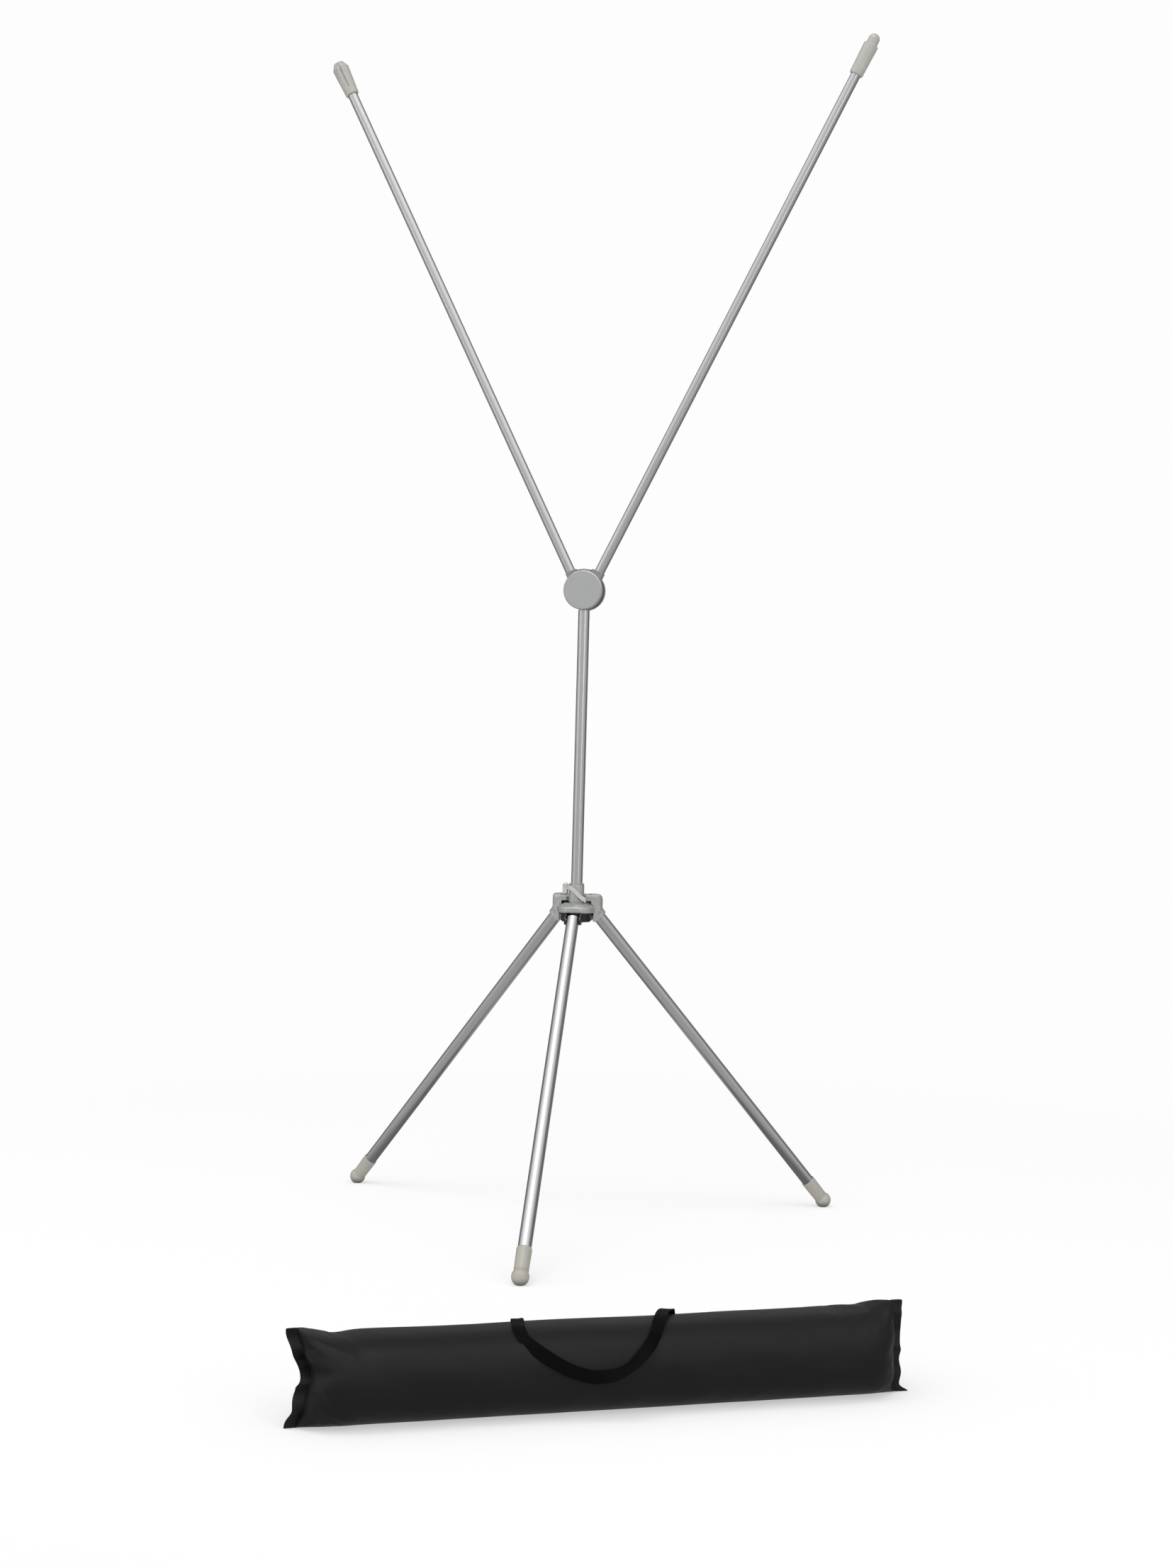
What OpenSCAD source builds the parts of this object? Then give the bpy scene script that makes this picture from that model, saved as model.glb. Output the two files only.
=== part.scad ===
// Background support stand: a Y-shaped stand for a collapsible studio background,
// with a folding tripod base and its carry bag.
// Origin: on the floor, on the axis of the mast. +Z is up. The arms lie in the XZ plane.

/* [Legs] */
// Angle of each leg from the mast when it is spread
leg_spread = 41.5; // [36:0.5:45]
// Length of a leg from its pivot pin to the centre of its ball foot
leg_length = 769; // [600:1:900]
// Outside diameter of a leg tube
leg_tube_d = 24; // [22:0.5:26]
// Wall of a leg tube
leg_wall = 1.5; // [1:0.1:2.5]
// Diameter of a leg's pivot pin
leg_pin_d = 6; // [4:0.5:8]
// Turn of the tripod about the mast, measured from the plane of the arms
tripod_turn = 5; // [0:1:8]

/* [Feet] */
// Diameter of the ball at the end of a foot
foot_ball_d = 31; // [29:0.5:36]
// Diameter of the flat sole under the ball
foot_sole_d = 14.4; // [8:0.2:18]
// Length of a foot from the ball's centre to the mouth of its sleeve
foot_length = 54; // [44:1:80]
// Wall of a foot's sleeve at its mouth
foot_wall = 1.6; // [1.2:0.1:2.4]

/* [Tripod head] */
// Diameter of the drum under the collar ring
drum_d = 59; // [56:0.5:62]
// Height of the drum
drum_h = 17; // [15:0.5:22]
// Diameter of the collar ring
ring_d = 73; // [68:0.5:75]
// Diameter of the hole in the collar ring
ring_hole_d = 41.6; // [38:0.2:44]
// Height of the collar ring's outer rim
ring_h = 11; // [9:0.5:13]
// Rise of the collar ring's top from its rim to its hole
ring_crown = 8.5; // [3:0.5:9]
// Height of the ring's underside above the rear legs' pivot pins
ring_lift = 1.5; // [0:0.1:3]
// How much lower the front leg's pivot pin sits than the rear ones
front_drop = 12; // [8:0.5:13]
// Thickness of the cheeks beside a rear leg
cheek_t = 2.7; // [2:0.1:4]
// How far a hood stands proud of its cheeks
hood_edge = 0.8; // [0.4:0.1:1.5]
// Height of the hoods' tops above the rear legs' pivot pins
hood_rise = 37.5; // [34:0.5:42]
// Distance from the mast's axis to the centre of a hood's round end
hood_r = 38; // [35:0.5:41]
// Wall of a hood
hood_wall = 3; // [2.6:0.1:4]
// Thickness of the drum's ears beside the front leg
ear_t = 3.5; // [2.5:0.1:5]

/* [Mast] */
// Height of the hub's centre above the floor
hub_height = 1208; // [1000:1:1400]
// Outside diameter of the mast tube
mast_d = 22; // [20:0.5:24]
// Wall of the mast tube
mast_wall = 1.2; // [1:0.1:2]
// Wall of the split bush round the mast
bush_wall = 1.45; // [1:0.05:2]
// Wall of the socket that holds the bush
socket_wall = 2.2; // [1.8:0.1:3]
// Height of the socket's mouth above the rear legs' pivot pins
socket_rise = 55.3; // [52:0.5:62]

/* [Clamp lever] */
// Thickness of the lever's band
lever_t = 4; // [3:0.2:5]
// Height of the lever's band
lever_w = 8.5; // [6:0.5:10]
// Length of the finger tab past the bend
lever_tab = 20; // [14:1:22]
// Angle through which the lever wraps round the socket
lever_wrap = 92; // [80:1:100]
// Diameter of the lever's pin
lever_pin_d = 4; // [3:0.5:5]

/* [Hub] */
// Diameter of a hub plate
plate_d = 75; // [73:0.5:80]
// Thickness of a hub plate
plate_t = 9; // [7:0.5:12]
// Bevel on the rim of a hub plate
plate_bevel = 1.6; // [0.5:0.1:2]
// Distance of an arm's pivot from the middle of the hub, sideways
pivot_x = 20.5; // [19:0.1:21]
// Distance from the middle of the hub to where an arm's axis crosses it
arm_offset = 10.5; // [10:0.1:11.5]
// Diameter of a pivot post
post_d = 8; // [6:0.5:9]
// Thickness of a friction washer
washer_t = 0.5; // [0.3:0.1:1]

/* [Arms] */
// Angle of each arm from the vertical
arm_angle = 26.5; // [25:0.5:28]
// Outside diameter of an arm tube
arm_d = 19; // [17:0.5:20]
// Wall of an arm tube
arm_wall = 1.2; // [1:0.1:2]
// Distance from an arm's pivot to the joint between its two tubes
arm_joint = 440; // [300:1:520]
// Distance from an arm's pivot to the end of its upper tube
arm_length = 1113; // [900:1:1300]
// Length of the ferrule that stands in each tube
ferrule_reach = 60; // [40:1:90]
// How far the stop heel stands out from the side of an arm
heel_out = 3.6; // [2.5:0.1:4.5]

/* [Arm ends] */
// Length of an end fitting's sleeve over its tube
cap_reach = 55; // [45:1:60]
// Length of the right fitting's body below its shoulder
peg_body = 60; // [58:1:75]
// Diameter of the right fitting's finger
peg_d = 21.5; // [18:0.5:23]
// Length of the finger above the shoulder
peg_length = 22.5; // [20:0.5:30]
// Length of the left fitting
clip_length = 69.5; // [67:0.5:80]
// Diameter of the left fitting at its widest
clip_d = 32.4; // [31:0.2:35]

/* [Carry bag] */
// Length of the bag
bag_length = 880; // [700:5:950]
// Height of the bag as it lies
bag_height = 118; // [100:1:140]
// Width of the bag as it lies
bag_width = 150; // [140:1:190]
// Distance of the bag's middle in front of the mast
bag_ahead = 1228; // [1000:1:1500]
// Distance of the bag's middle to the side of the mast
bag_aside = 338; // [-400:1:400]
// Turn of the bag on the floor
bag_turn = 30; // [-40:1:40]
// Width of the handle's webbing
webbing_w = 15; // [10:1:25]

/* [Hidden] */
$fn = 96;
// clearances: a turning or sliding fit, a small seat, and a gap between bodies
fit = 0.05;
seat = 0.1;
gap = 0.3;
far = 3000;

// legs and feet
leg_r = leg_tube_d / 2;
leg_bore_r = leg_r - leg_wall;
ball_r = foot_ball_d / 2;
ball_z = sqrt(pow(ball_r, 2) - pow(foot_sole_d / 2, 2));
leg_tube_top = 4;
corner_r = sqrt(pow(leg_r, 2) + pow(leg_tube_top, 2));
drum_r = drum_d / 2;
leg_pivot_r = drum_r + corner_r + 0.85;
leg_pivot_z = ball_z + leg_length * cos(leg_spread);
front_pivot_z = leg_pivot_z - front_drop;
front_spread = acos((front_pivot_z - ball_z) / leg_length);
foot_tube_stop = 14.5;
foot_mouth_r = leg_r + foot_wall;
leg_turns = [-90, 30, 150];
front = leg_turns[0];
rear = [leg_turns[1], leg_turns[2]];
function spread_of(turn) = turn == front ? front_spread : leg_spread;
function pivot_z_of(turn) = turn == front ? front_pivot_z : leg_pivot_z;

// tripod head; up and out in the plane of a rear leg are measured from its pivot and the mast
ring_r = ring_d / 2;
ring_low_z = leg_pivot_z + ring_lift;
ring_top_z = ring_low_z + ring_h;
drum_low_z = ring_low_z - drum_h;
drum_wall = 3;
cheek_in = leg_r + 0.4;
cheek_out = cheek_in + cheek_t;
hood_half = cheek_out + hood_edge;
ear_out = cheek_in + ear_t;
notch_r = drum_r;
cheek_start = notch_r + seat;
back_in_r = corner_r + gap + 0.15;
mouth_u = -8.5;
hood_round = 4;

// mast and its socket
mast_r = mast_d / 2;
bush_r = mast_r + fit + bush_wall;
socket_bore_r = bush_r + fit;
socket_r = socket_bore_r + socket_wall;
socket_floor_z = drum_low_z + drum_wall + 4;
socket_top_z = leg_pivot_z + socket_rise;
bush_low_z = socket_floor_z + 12;
bush_lip = 2;

// clamp lever
lever_in_r = socket_r + 0.6;
lever_mid_r = lever_in_r + lever_t / 2;
lever_pin_x = -(socket_r + 6.6);
lug_t = 3;
lug_r = 6.5;
lug_top_z = socket_top_z - 0.5;
lug_low_z = leg_pivot_z + 31.3;
web_low_top = lug_low_z + lug_t - leg_pivot_z;
head_low_z = lug_low_z + lug_t + gap;
head_top_z = lug_top_z - lug_t - gap;
cam_r = 6.1;
window_h = 12;
window_z = (head_low_z + head_top_z) / 2;

// hub and arms
plate_r = plate_d / 2;
arm_r = arm_d / 2;
arm_bore_r = arm_r - arm_wall;
hub_gap = arm_d + 0.4;
pivot_rise = (pivot_x - arm_offset) / tan(arm_angle);
post_r = post_d / 2;
knuckle_t = hub_gap - 2 * washer_t - 4 * seat;
knuckle_end = 17.5;
spigot_end = knuckle_end + 56;
arm_rivet_z = spigot_end - 14;
mast_top_z = hub_height - plate_r - gap;
core_half = pivot_x - arm_r - 0.6;
wedge_apex = (arm_r + heel_out + gap) / sin(arm_angle) - arm_offset / tan(arm_angle);
wedge_top = 39.6;
spigot_length = 50;
screw_r = 2;
rivet_r = 1.6;

// arm ends
cap_mouth = arm_length - cap_reach;
cap_bore_r = arm_r + fit;
cap_wall = 3.5;

// carry bag
bag_round_r = bag_height / 2;
bag_round_x = bag_width / 2 - bag_round_r;
bag_skin = 1.5;

// ---------------------------------------------------------------- shared shapes

// A tube along +Z from z0 to z1.
module tube(r_out, r_in, z0, z1) {
    translate([0, 0, z0]) difference() {
        cylinder(r = r_out, h = z1 - z0);
        translate([0, 0, -1]) cylinder(r = r_in, h = z1 - z0 + 2);
    }
}

// A solid disc along +Z from z0 to z1.
module rod(r, z0, z1) {
    translate([0, 0, z0]) cylinder(r = r, h = z1 - z0);
}

// Children drawn in the plane of a leg (x = distance from the mast's axis, y = height above the
// leg's pivot) become a plate of width 2 * half, centred on the leg at angle turn.
module radial_plate(turn, half) {
    rotate([0, 0, turn + tripod_turn]) translate([0, half, pivot_z_of(turn)])
        rotate([90, 0, 0]) linear_extrude(height = 2 * half) children();
}

// The same plane, with a pair of plates on both sides of the leg.
module radial_pair(turn, inner, outer) {
    for (side = [-1, 1])
        rotate([0, 0, turn + tripod_turn])
            translate([0, side > 0 ? outer : -inner, pivot_z_of(turn)])
                rotate([90, 0, 0]) linear_extrude(height = outer - inner) children();
}

// The frame of a spread leg: origin at its pivot, +Z up along the leg, +X on its upper side.
module leg_frame(turn) {
    rotate([0, 0, turn + tripod_turn]) translate([leg_pivot_r, 0, pivot_z_of(turn)])
        rotate([0, -spread_of(turn), 0]) children();
}

// The frame of an arm: origin at its pivot, +Z out along the arm. side is 1 or -1.
module arm_frame(side) {
    mirror([side < 0 ? 1 : 0, 0, 0]) translate([pivot_x, 0, hub_height + pivot_rise])
        rotate([0, arm_angle, 0]) children();
}

// A pin across a leg, through its pivot.
module cross_pin(r, half) {
    rotate([90, 0, 0]) translate([0, 0, -half]) cylinder(r = r, h = 2 * half, $fn = 48);
}

// A blind rivet seen from outside: a shank into the wall and a low domed head on it, along +Y.
module rivet(wall_r, depth) {
    rotate([-90, 0, 0]) {
        rod(rivet_r, wall_r - depth, wall_r + 0.2, $fn = 32);
        translate([0, 0, wall_r]) intersection() {
            rod(2 * rivet_r, 0, 0.9, $fn = 32);
            translate([0, 0, -3.5]) sphere(r = 4.4, $fn = 32);
        }
    }
}

// The hole that a rivet's shank fills.
module rivet_hole(wall_r, depth) {
    rotate([-90, 0, 0]) rod(rivet_r + seat / 2, wall_r - depth - seat, wall_r + 3, $fn = 32);
}

// ---------------------------------------------------------------- tripod head

// Profile of the collar ring: a flat underside, an upright rim and a top that rises to the hole.
module ring_profile(clear) {
    hole_r = ring_hole_d / 2;
    round_r = 1.5;
    difference() {
        polygon([[hole_r - clear, ring_low_z - clear], [ring_r + clear, ring_low_z - clear],
            [ring_r + clear, ring_top_z + clear], [hole_r - clear, ring_top_z + ring_crown + clear]]);
        if (clear == 0) {
            translate([ring_r - round_r, ring_low_z - 1]) difference() {
                square([round_r + 1, round_r + 1]);
                translate([0, round_r + 1]) circle(r = round_r, $fn = 32);
            }
        }
    }
}

// Collar ring. Two notches in its rear let the cheeks of the hoods and the rear legs through.
module collar_ring() {
    color([0.66, 0.67, 0.65]) difference() {
        rotate_extrude() ring_profile(0);
        for (turn = rear) radial_plate(turn, cheek_out + seat)
            translate([notch_r, -60]) square([60, 120]);
    }
}

// A point in the plane of a rear leg, u up along the spread leg and w out from it.
function leg_point(u, w) = [leg_pivot_r - u * sin(leg_spread) + w * cos(leg_spread),
    u * cos(leg_spread) + w * sin(leg_spread)];

// Outline of a flat cheek with its web to the socket. Its lower edge is square to the spread leg.
module cheek_outline(web_top) {
    polygon([[cheek_start, -16], leg_point(mouth_u, -13.5), leg_point(mouth_u, 5), leg_point(2, 5),
        [leg_point(2, 5)[0], 16], [hood_r, 28], [socket_bore_r + 1, min(web_top, 30)],
        [socket_bore_r + 1, 24], [cheek_start - 4.6, 24], [cheek_start - 4.6, 6], [cheek_start, 6]]);
}

// Outline of a hood from the side: the top falls a little from the socket, the end is upright and
// the lower edge runs down along the leg.
module hood_outline(web_top) {
    end_r = hood_r + hood_half;
    turn_r = 6;
    polygon(concat([[socket_bore_r + 1, web_top], [notch_r - 4, web_top], [notch_r + 2, hood_rise]],
        [for (a = [90:-10:0]) [end_r - turn_r + turn_r * cos(a), hood_rise - turn_r + turn_r * sin(a)]],
        [[end_r, 6], [end_r - 8, 11], [leg_pivot_r - 3.6, 17.6], [leg_pivot_r - 8, 25.2],
        [leg_pivot_r - 11, 28], [leg_pivot_r - 17, 30], [socket_bore_r + 1, 28.6]]));
}

// Plan of a hood: straight sides and a round end.
module hood_plan(half) {
    translate([hood_r, 0]) circle(r = half);
    translate([5, -half]) square([hood_r - 5, 2 * half]);
}

// Section across a hood, with rounded upper edges.
module hood_section(half, top) {
    edge = [for (a = [15:15:75]) [half - hood_round + hood_round * cos(a), top - hood_round + hood_round * sin(a)]];
    right = concat([[half + 1, -60], [half + 1, top - 2 * hood_round]], edge, [[half - 2 * hood_round, top]]);
    left = [for (i = [len(right) - 1:-1:0]) [-right[i][0], right[i][1]]];
    polygon(concat(right, left));
}

module hood_bar(turn, half, top) {
    rotate([0, 0, turn + tripod_turn]) translate([5, 0, leg_pivot_z]) rotate([90, 0, 90])
        linear_extrude(height = 80) hood_section(half, top);
}

module hood_block(turn, half, low, high) {
    rotate([0, 0, turn + tripod_turn]) translate([0, 0, leg_pivot_z + low])
        linear_extrude(height = high - low) hood_plan(half);
}

// A hood with its cheeks and web, before it is hollowed.
module hood_solid(turn, web_top) {
    intersection() {
        radial_plate(turn, hood_half + 5) hood_outline(web_top);
        hood_block(turn, hood_half, 0, 60);
        hood_bar(turn, hood_half, hood_rise);
    }
    radial_plate(turn, cheek_out) cheek_outline(web_top);
    // round back over the upper side of the spread leg
    intersection() {
        radial_plate(turn, cheek_out) polygon([leg_point(mouth_u, 3), leg_point(mouth_u, 18),
            leg_point(6, 18), [hood_r + hood_half, 14], [hood_r, 20], leg_point(4, 3)]);
        leg_frame(turn) rod(back_in_r + 2.4, -40, 40);
    }
}

// The hollow of a hood, open below, where the top of a rear leg turns.
module hood_hollow(turn, web_top) {
    back_top = hood_rise - hood_wall;
    intersection() {
        radial_plate(turn, cheek_in) polygon([[cheek_start - 0.5, -70], [120, -70], [120, 40],
            leg_point(12, 20), [cheek_start - 0.5, 20]]);
        leg_frame(turn) union() {
            rod(back_in_r, -100, 40);
            translate([-120, -20, -120]) cube([124, 40, 240]);
        }
    }
    intersection() {
        radial_plate(turn, cheek_in) polygon([[notch_r + 2, 8], [80, 8], [80, back_top - 5],
            [hood_r + hood_half - 8, back_top], [notch_r + 4, back_top], [notch_r - 1, web_top - hood_wall],
            [socket_r + 3, web_top - hood_wall], [socket_r + 3, 10], [notch_r + 2, 10]]);
        hood_block(turn, hood_half - hood_wall, 0, 60);
    }
}

// Mast socket, its webs and the hoods over the two rear legs, as one casting.
module head_casting() {
    right_top = hood_rise + 2.5;
    color([0.64, 0.65, 0.63]) difference() {
        union() {
            difference() {
                for (turn = rear) hood_solid(turn, turn == rear[0] ? right_top : web_low_top);
                for (turn = rear) {
                    hood_hollow(turn, turn == rear[0] ? right_top : web_low_top);
                    radial_plate(turn, cheek_out + 5)
                        translate([leg_pivot_r, 0]) circle(r = leg_pin_d / 2 + seat / 2, $fn = 48);
                    // the cheeks' feet sit on the collar ring
                    intersection() {
                        rotate_extrude() ring_profile(seat);
                        radial_plate(turn, 40) translate([0, -60]) square([cheek_start, 120]);
                    }
                }
            }
            rod(socket_r, socket_floor_z - 4, socket_top_z);
            // lugs that carry the lever's pin
            for (z = [lug_low_z, lug_top_z - lug_t]) translate([0, 0, z]) {
                translate([lever_pin_x, 0, 0]) cylinder(r = lug_r, h = lug_t);
                translate([lever_pin_x, -lug_r, 0]) cube([-lever_pin_x, 2 * lug_r, lug_t]);
            }
        }
        // bore for the bush and the mast, the base bolt, the clamp window and the lever's pin
        rod(socket_bore_r, socket_floor_z, socket_top_z + 1);
        rod(4 + seat / 2, socket_floor_z - 5, socket_floor_z + 1, $fn = 48);
        translate([-socket_r - 1, -6, window_z - window_h / 2]) cube([socket_r, 12, window_h]);
        translate([lever_pin_x, 0, 0]) rod(lever_pin_d / 2 + seat / 2, lug_low_z - 1, lug_top_z + 1, $fn = 48);
    }
}

// Outline of an ear on the drum, beside the top of the front leg.
module ear_outline() {
    top = ring_low_z - front_pivot_z - gap;
    low = drum_low_z - front_pivot_z;
    difference() {
        union() {
            translate([leg_pivot_r, 0]) circle(r = 8);
            polygon([[drum_r - 8, low], [leg_pivot_r - 2, -7.7], [leg_pivot_r + 7.7, 2],
                [ring_r, top], [drum_r - 8, top]]);
        }
        translate([leg_pivot_r, 0]) circle(r = leg_pin_d / 2 + seat / 2, $fn = 48);
    }
}

// Cup under the collar ring, with a pair of ears for the front leg. The socket stands on its floor.
module base_drum() {
    color([0.06, 0.06, 0.065]) difference() {
        union() {
            rod(drum_r - 2, drum_low_z, drum_low_z + 2);
            rod(drum_r, drum_low_z + 2, ring_low_z);
            radial_pair(front, cheek_in, ear_out) ear_outline();
        }
        rod(drum_r - drum_wall, drum_low_z + drum_wall, ring_low_z + 1);
        rod(4 + seat / 2, drum_low_z - 1, drum_low_z + drum_wall + 1, $fn = 48);
    }
}

module base_washer() {
    color([0.7, 0.7, 0.7]) tube(9, 4 + seat / 2, drum_low_z - 1.5, drum_low_z, $fn = 64);
}

// Bolt from below, through the drum's floor into the foot of the socket.
module base_bolt() {
    color([0.6, 0.6, 0.6]) difference() {
        union() {
            rod(4, drum_low_z - 1.5, socket_floor_z - 0.2, $fn = 48);
            translate([0, 0, drum_low_z - 6.5]) cylinder(r = 7.5, h = 5, $fn = 6);
        }
    }
}

// Pins of the three legs, their ends a little sunk in the cheeks and ears.
module leg_pivot_pins() {
    color([0.75, 0.75, 0.75]) for (turn = leg_turns) leg_frame(turn)
        cross_pin(leg_pin_d / 2, (turn == front ? ear_out : cheek_out) - 0.3);
}

// ---------------------------------------------------------------- clamp lever

// Plan of the lever: the head round its pin, the band round the front of the socket and the tab.
module lever_plan() {
    bend = 180 + lever_wrap;
    union() {
        translate([lever_pin_x, 0]) circle(r = cam_r);
        intersection() {
            difference() {
                circle(r = lever_in_r + lever_t);
                circle(r = lever_in_r);
            }
            polygon([[0, 0], [2 * far * cos(bend), 2 * far * sin(bend)], [-far, -far], [-far, -1]]);
        }
        translate([lever_mid_r * cos(bend), lever_mid_r * sin(bend)]) rotate(bend + 90) {
            translate([-0.1, -lever_t / 2]) square([lever_tab, lever_t]);
            translate([lever_tab, 0]) circle(r = lever_t / 2, $fn = 32);
        }
    }
}

// Front view of the lever: a tall head on the left, and a band that slopes down to the tab.
module lever_front() {
    left = lever_pin_x - cam_r - 1;
    band_left = -socket_r - 2;
    band_z = head_top_z - 1 - lever_w / 2;
    knee_z = band_z - 3;
    tip = lever_tab + 4;
    tip_z = leg_pivot_z + 28;
    polygon([[left, head_low_z], [band_left, head_low_z], [band_left, band_z - lever_w / 2],
        [-6, band_z - lever_w / 2], [0, knee_z - lever_w / 2], [tip - 3, tip_z - lever_w / 2],
        [tip, tip_z - lever_w / 4], [tip, tip_z + lever_w / 4], [tip - 3, tip_z + lever_w / 2],
        [2, knee_z + lever_w / 2 + 1], [-4, band_z + lever_w / 2], [band_left, band_z + lever_w / 2],
        [band_left, head_top_z], [left, head_top_z]]);
}

module clamp_lever() {
    color([0.78, 0.78, 0.75]) difference() {
        intersection() {
            translate([0, 0, leg_pivot_z]) linear_extrude(height = socket_rise + 5) lever_plan();
            rotate([90, 0, 0]) translate([0, 0, -60]) linear_extrude(height = 120) lever_front();
        }
        translate([lever_pin_x, 0, 0]) rod(lever_pin_d / 2 + fit, head_low_z - 1, head_top_z + 1, $fn = 48);
    }
}

// Pin of the lever, with a domed head on the upper lug.
module lever_pin() {
    color([0.72, 0.72, 0.72]) translate([lever_pin_x, 0, 0]) {
        rod(lever_pin_d / 2, lug_low_z - 1, lug_top_z + 0.2, $fn = 48);
        translate([0, 0, lug_top_z]) intersection() {
            cylinder(r = 5, h = 3.2, $fn = 64);
            translate([0, 0, -2.6]) sphere(r = 5.8, $fn = 64);
        }
    }
}

// Shoe in the socket's window, pressed against the bush by the lever's head.
module clamp_pad() {
    color([0.12, 0.12, 0.12]) intersection() {
        tube(socket_r - 0.1, bush_r + seat, window_z - window_h / 2 + seat, window_z + window_h / 2 - seat);
        translate([-socket_r - 1, -6 + seat, window_z - window_h]) cube([socket_r, 12 - 2 * seat, 2 * window_h]);
        difference() {
            translate([-60, -60, window_z - window_h]) cube([120, 120, 2 * window_h]);
            translate([lever_pin_x, 0, 0]) rod(cam_r + seat, window_z - window_h - 1, window_z + window_h + 1);
        }
    }
}

// Split bush between the socket and the mast, with a lip on the socket's mouth.
module split_bush() {
    color([0.2, 0.2, 0.2]) difference() {
        union() {
            rod(bush_r, bush_low_z, socket_top_z);
            rod(socket_r - 0.4, socket_top_z, socket_top_z + bush_lip);
        }
        rod(mast_r + fit, bush_low_z - 1, socket_top_z + bush_lip + 1);
        translate([-1, 0, bush_low_z - 1]) cube([2, 40, socket_top_z + bush_lip - bush_low_z + 2]);
    }
}

// ---------------------------------------------------------------- legs

module leg_tube(turn) {
    color([0.80, 0.81, 0.82]) leg_frame(turn) difference() {
        tube(leg_r, leg_bore_r, -leg_length + foot_tube_stop, leg_tube_top);
        cross_pin(leg_pin_d / 2 + fit, leg_r + 1);
    }
}

// Plug in the top of a leg. When the leg is spread, the crown of its head meets the side of the
// drum or of the ring above it, and stops the leg.
module leg_plug(turn) {
    s = spread_of(turn);
    crown_u = 12.3;
    stop_w = (leg_pivot_r - crown_u * sin(s) - drum_r - gap) / cos(s);
    half = leg_bore_r - 1;
    color([0.10, 0.10, 0.105]) leg_frame(turn) difference() {
        union() {
            rod(leg_bore_r - seat, -30, leg_tube_top + 1);
            intersection() {
                translate([0, leg_r - 2, 0]) rotate([90, 0, 0]) linear_extrude(height = 2 * leg_r - 4)
                    polygon([[-half, leg_tube_top], [-half, leg_tube_top + 3.6], [-stop_w, crown_u],
                        [-2.5, crown_u], [half, leg_tube_top + 1.5], [half, leg_tube_top]]);
                rod(leg_r - 0.1, leg_tube_top, 30);
                // clear of the casting's back while the leg folds
                if (turn != front) rotate([0, -s, 0]) rod(back_in_r - 0.35, -40, 40);
            }
        }
        cross_pin(leg_pin_d / 2 + fit, leg_r + 1);
    }
}

// A foot: a sleeve over the end of the tube and a ball, flat where it stands on the floor.
module leg_foot(turn) {
    groove_z = ball_r * 0.62;
    color([0.66, 0.65, 0.62]) difference() {
        leg_frame(turn) translate([0, 0, -leg_length]) difference() {
            union() {
                sphere(r = ball_r);
                rod(foot_mouth_r - 1.1, 0, groove_z + 1.5);
                translate([0, 0, groove_z + 1.5])
                    cylinder(r1 = foot_mouth_r - 0.7, r2 = foot_mouth_r, h = foot_length - groove_z - 3);
                translate([0, 0, foot_length - 1.5])
                    cylinder(r1 = foot_mouth_r, r2 = foot_mouth_r - 0.7, h = 1.5);
            }
            rod(leg_r + seat / 2, foot_tube_stop, foot_length + 1);
        }
        translate([-far / 2, -far / 2, -100]) cube([far, far, 100]);
    }
}

// ---------------------------------------------------------------- mast

module mast_tube() {
    color([0.78, 0.79, 0.80]) difference() {
        tube(mast_r, mast_r - mast_wall, socket_floor_z + 2, mast_top_z);
        for (z = [mast_top_z - 18, mast_top_z - 36, socket_floor_z + 80])
            translate([0, 0, z]) rivet_hole(mast_r, 6);
    }
}

// Plug in the mast's lower end. Its flange stands on the floor of the socket.
module mast_end_plug() {
    color([0.1, 0.1, 0.1]) difference() {
        union() {
            rod(mast_r - 0.1, socket_floor_z, socket_floor_z + 2);
            rod(mast_r - mast_wall - seat, socket_floor_z + 2, socket_floor_z + 90);
        }
        rod(mast_r - mast_wall - 4, socket_floor_z - 1, socket_floor_z + 60);
        translate([0, 0, socket_floor_z + 80]) rivet_hole(mast_r, 6);
    }
}

module mast_rivets() {
    color([0.7, 0.7, 0.7]) for (z = [mast_top_z - 18, mast_top_z - 36, socket_floor_z + 80])
        translate([0, 0, z]) rivet(mast_r, 6);
}

// ---------------------------------------------------------------- hub

// Core between the plates: a bar, the wedge that both arms rest against, and a spigot in the mast.
module hub_core() {
    half = hub_gap / 2 - seat;
    low = -sqrt(pow(plate_r, 2) - pow(core_half, 2)) + 0.6;
    color([0.60, 0.61, 0.60]) difference() {
        union() {
            translate([0, half, hub_height]) rotate([90, 0, 0]) linear_extrude(height = 2 * half)
                polygon([[-core_half, low], [core_half, low], [core_half, 8],
                    [2.2, wedge_apex + 4.6], [(wedge_top - wedge_apex) * tan(arm_angle), wedge_top],
                    [0, wedge_top + 1.6],
                    [-(wedge_top - wedge_apex) * tan(arm_angle), wedge_top], [-2.2, wedge_apex + 4.6],
                    [-core_half, 8]]);
            intersection() {
                rod(mast_r - mast_wall - seat, mast_top_z - spigot_length, hub_height - 8);
                translate([-core_half, -half, mast_top_z - spigot_length])
                    cube([2 * core_half, 2 * half, 2 * spigot_length]);
            }
        }
        for (z = [mast_top_z - 18, mast_top_z - 36]) translate([0, 0, z]) rivet_hole(mast_r, 6);
        for (z = [hub_height - 16, hub_height + 27]) translate([0, 0, z])
            rotate([-90, 0, 0]) rod(screw_r + seat / 2, -2, hub_gap, $fn = 32);
    }
}

// A round plate from y = 0 to plate_t, bevelled on its outer face.
module plate_blank() {
    rotate([-90, 0, 0]) {
        cylinder(r = plate_r, h = plate_t - plate_bevel);
        translate([0, 0, plate_t - plate_bevel])
            cylinder(r1 = plate_r, r2 = plate_r - plate_bevel, h = plate_bevel);
    }
}

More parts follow.
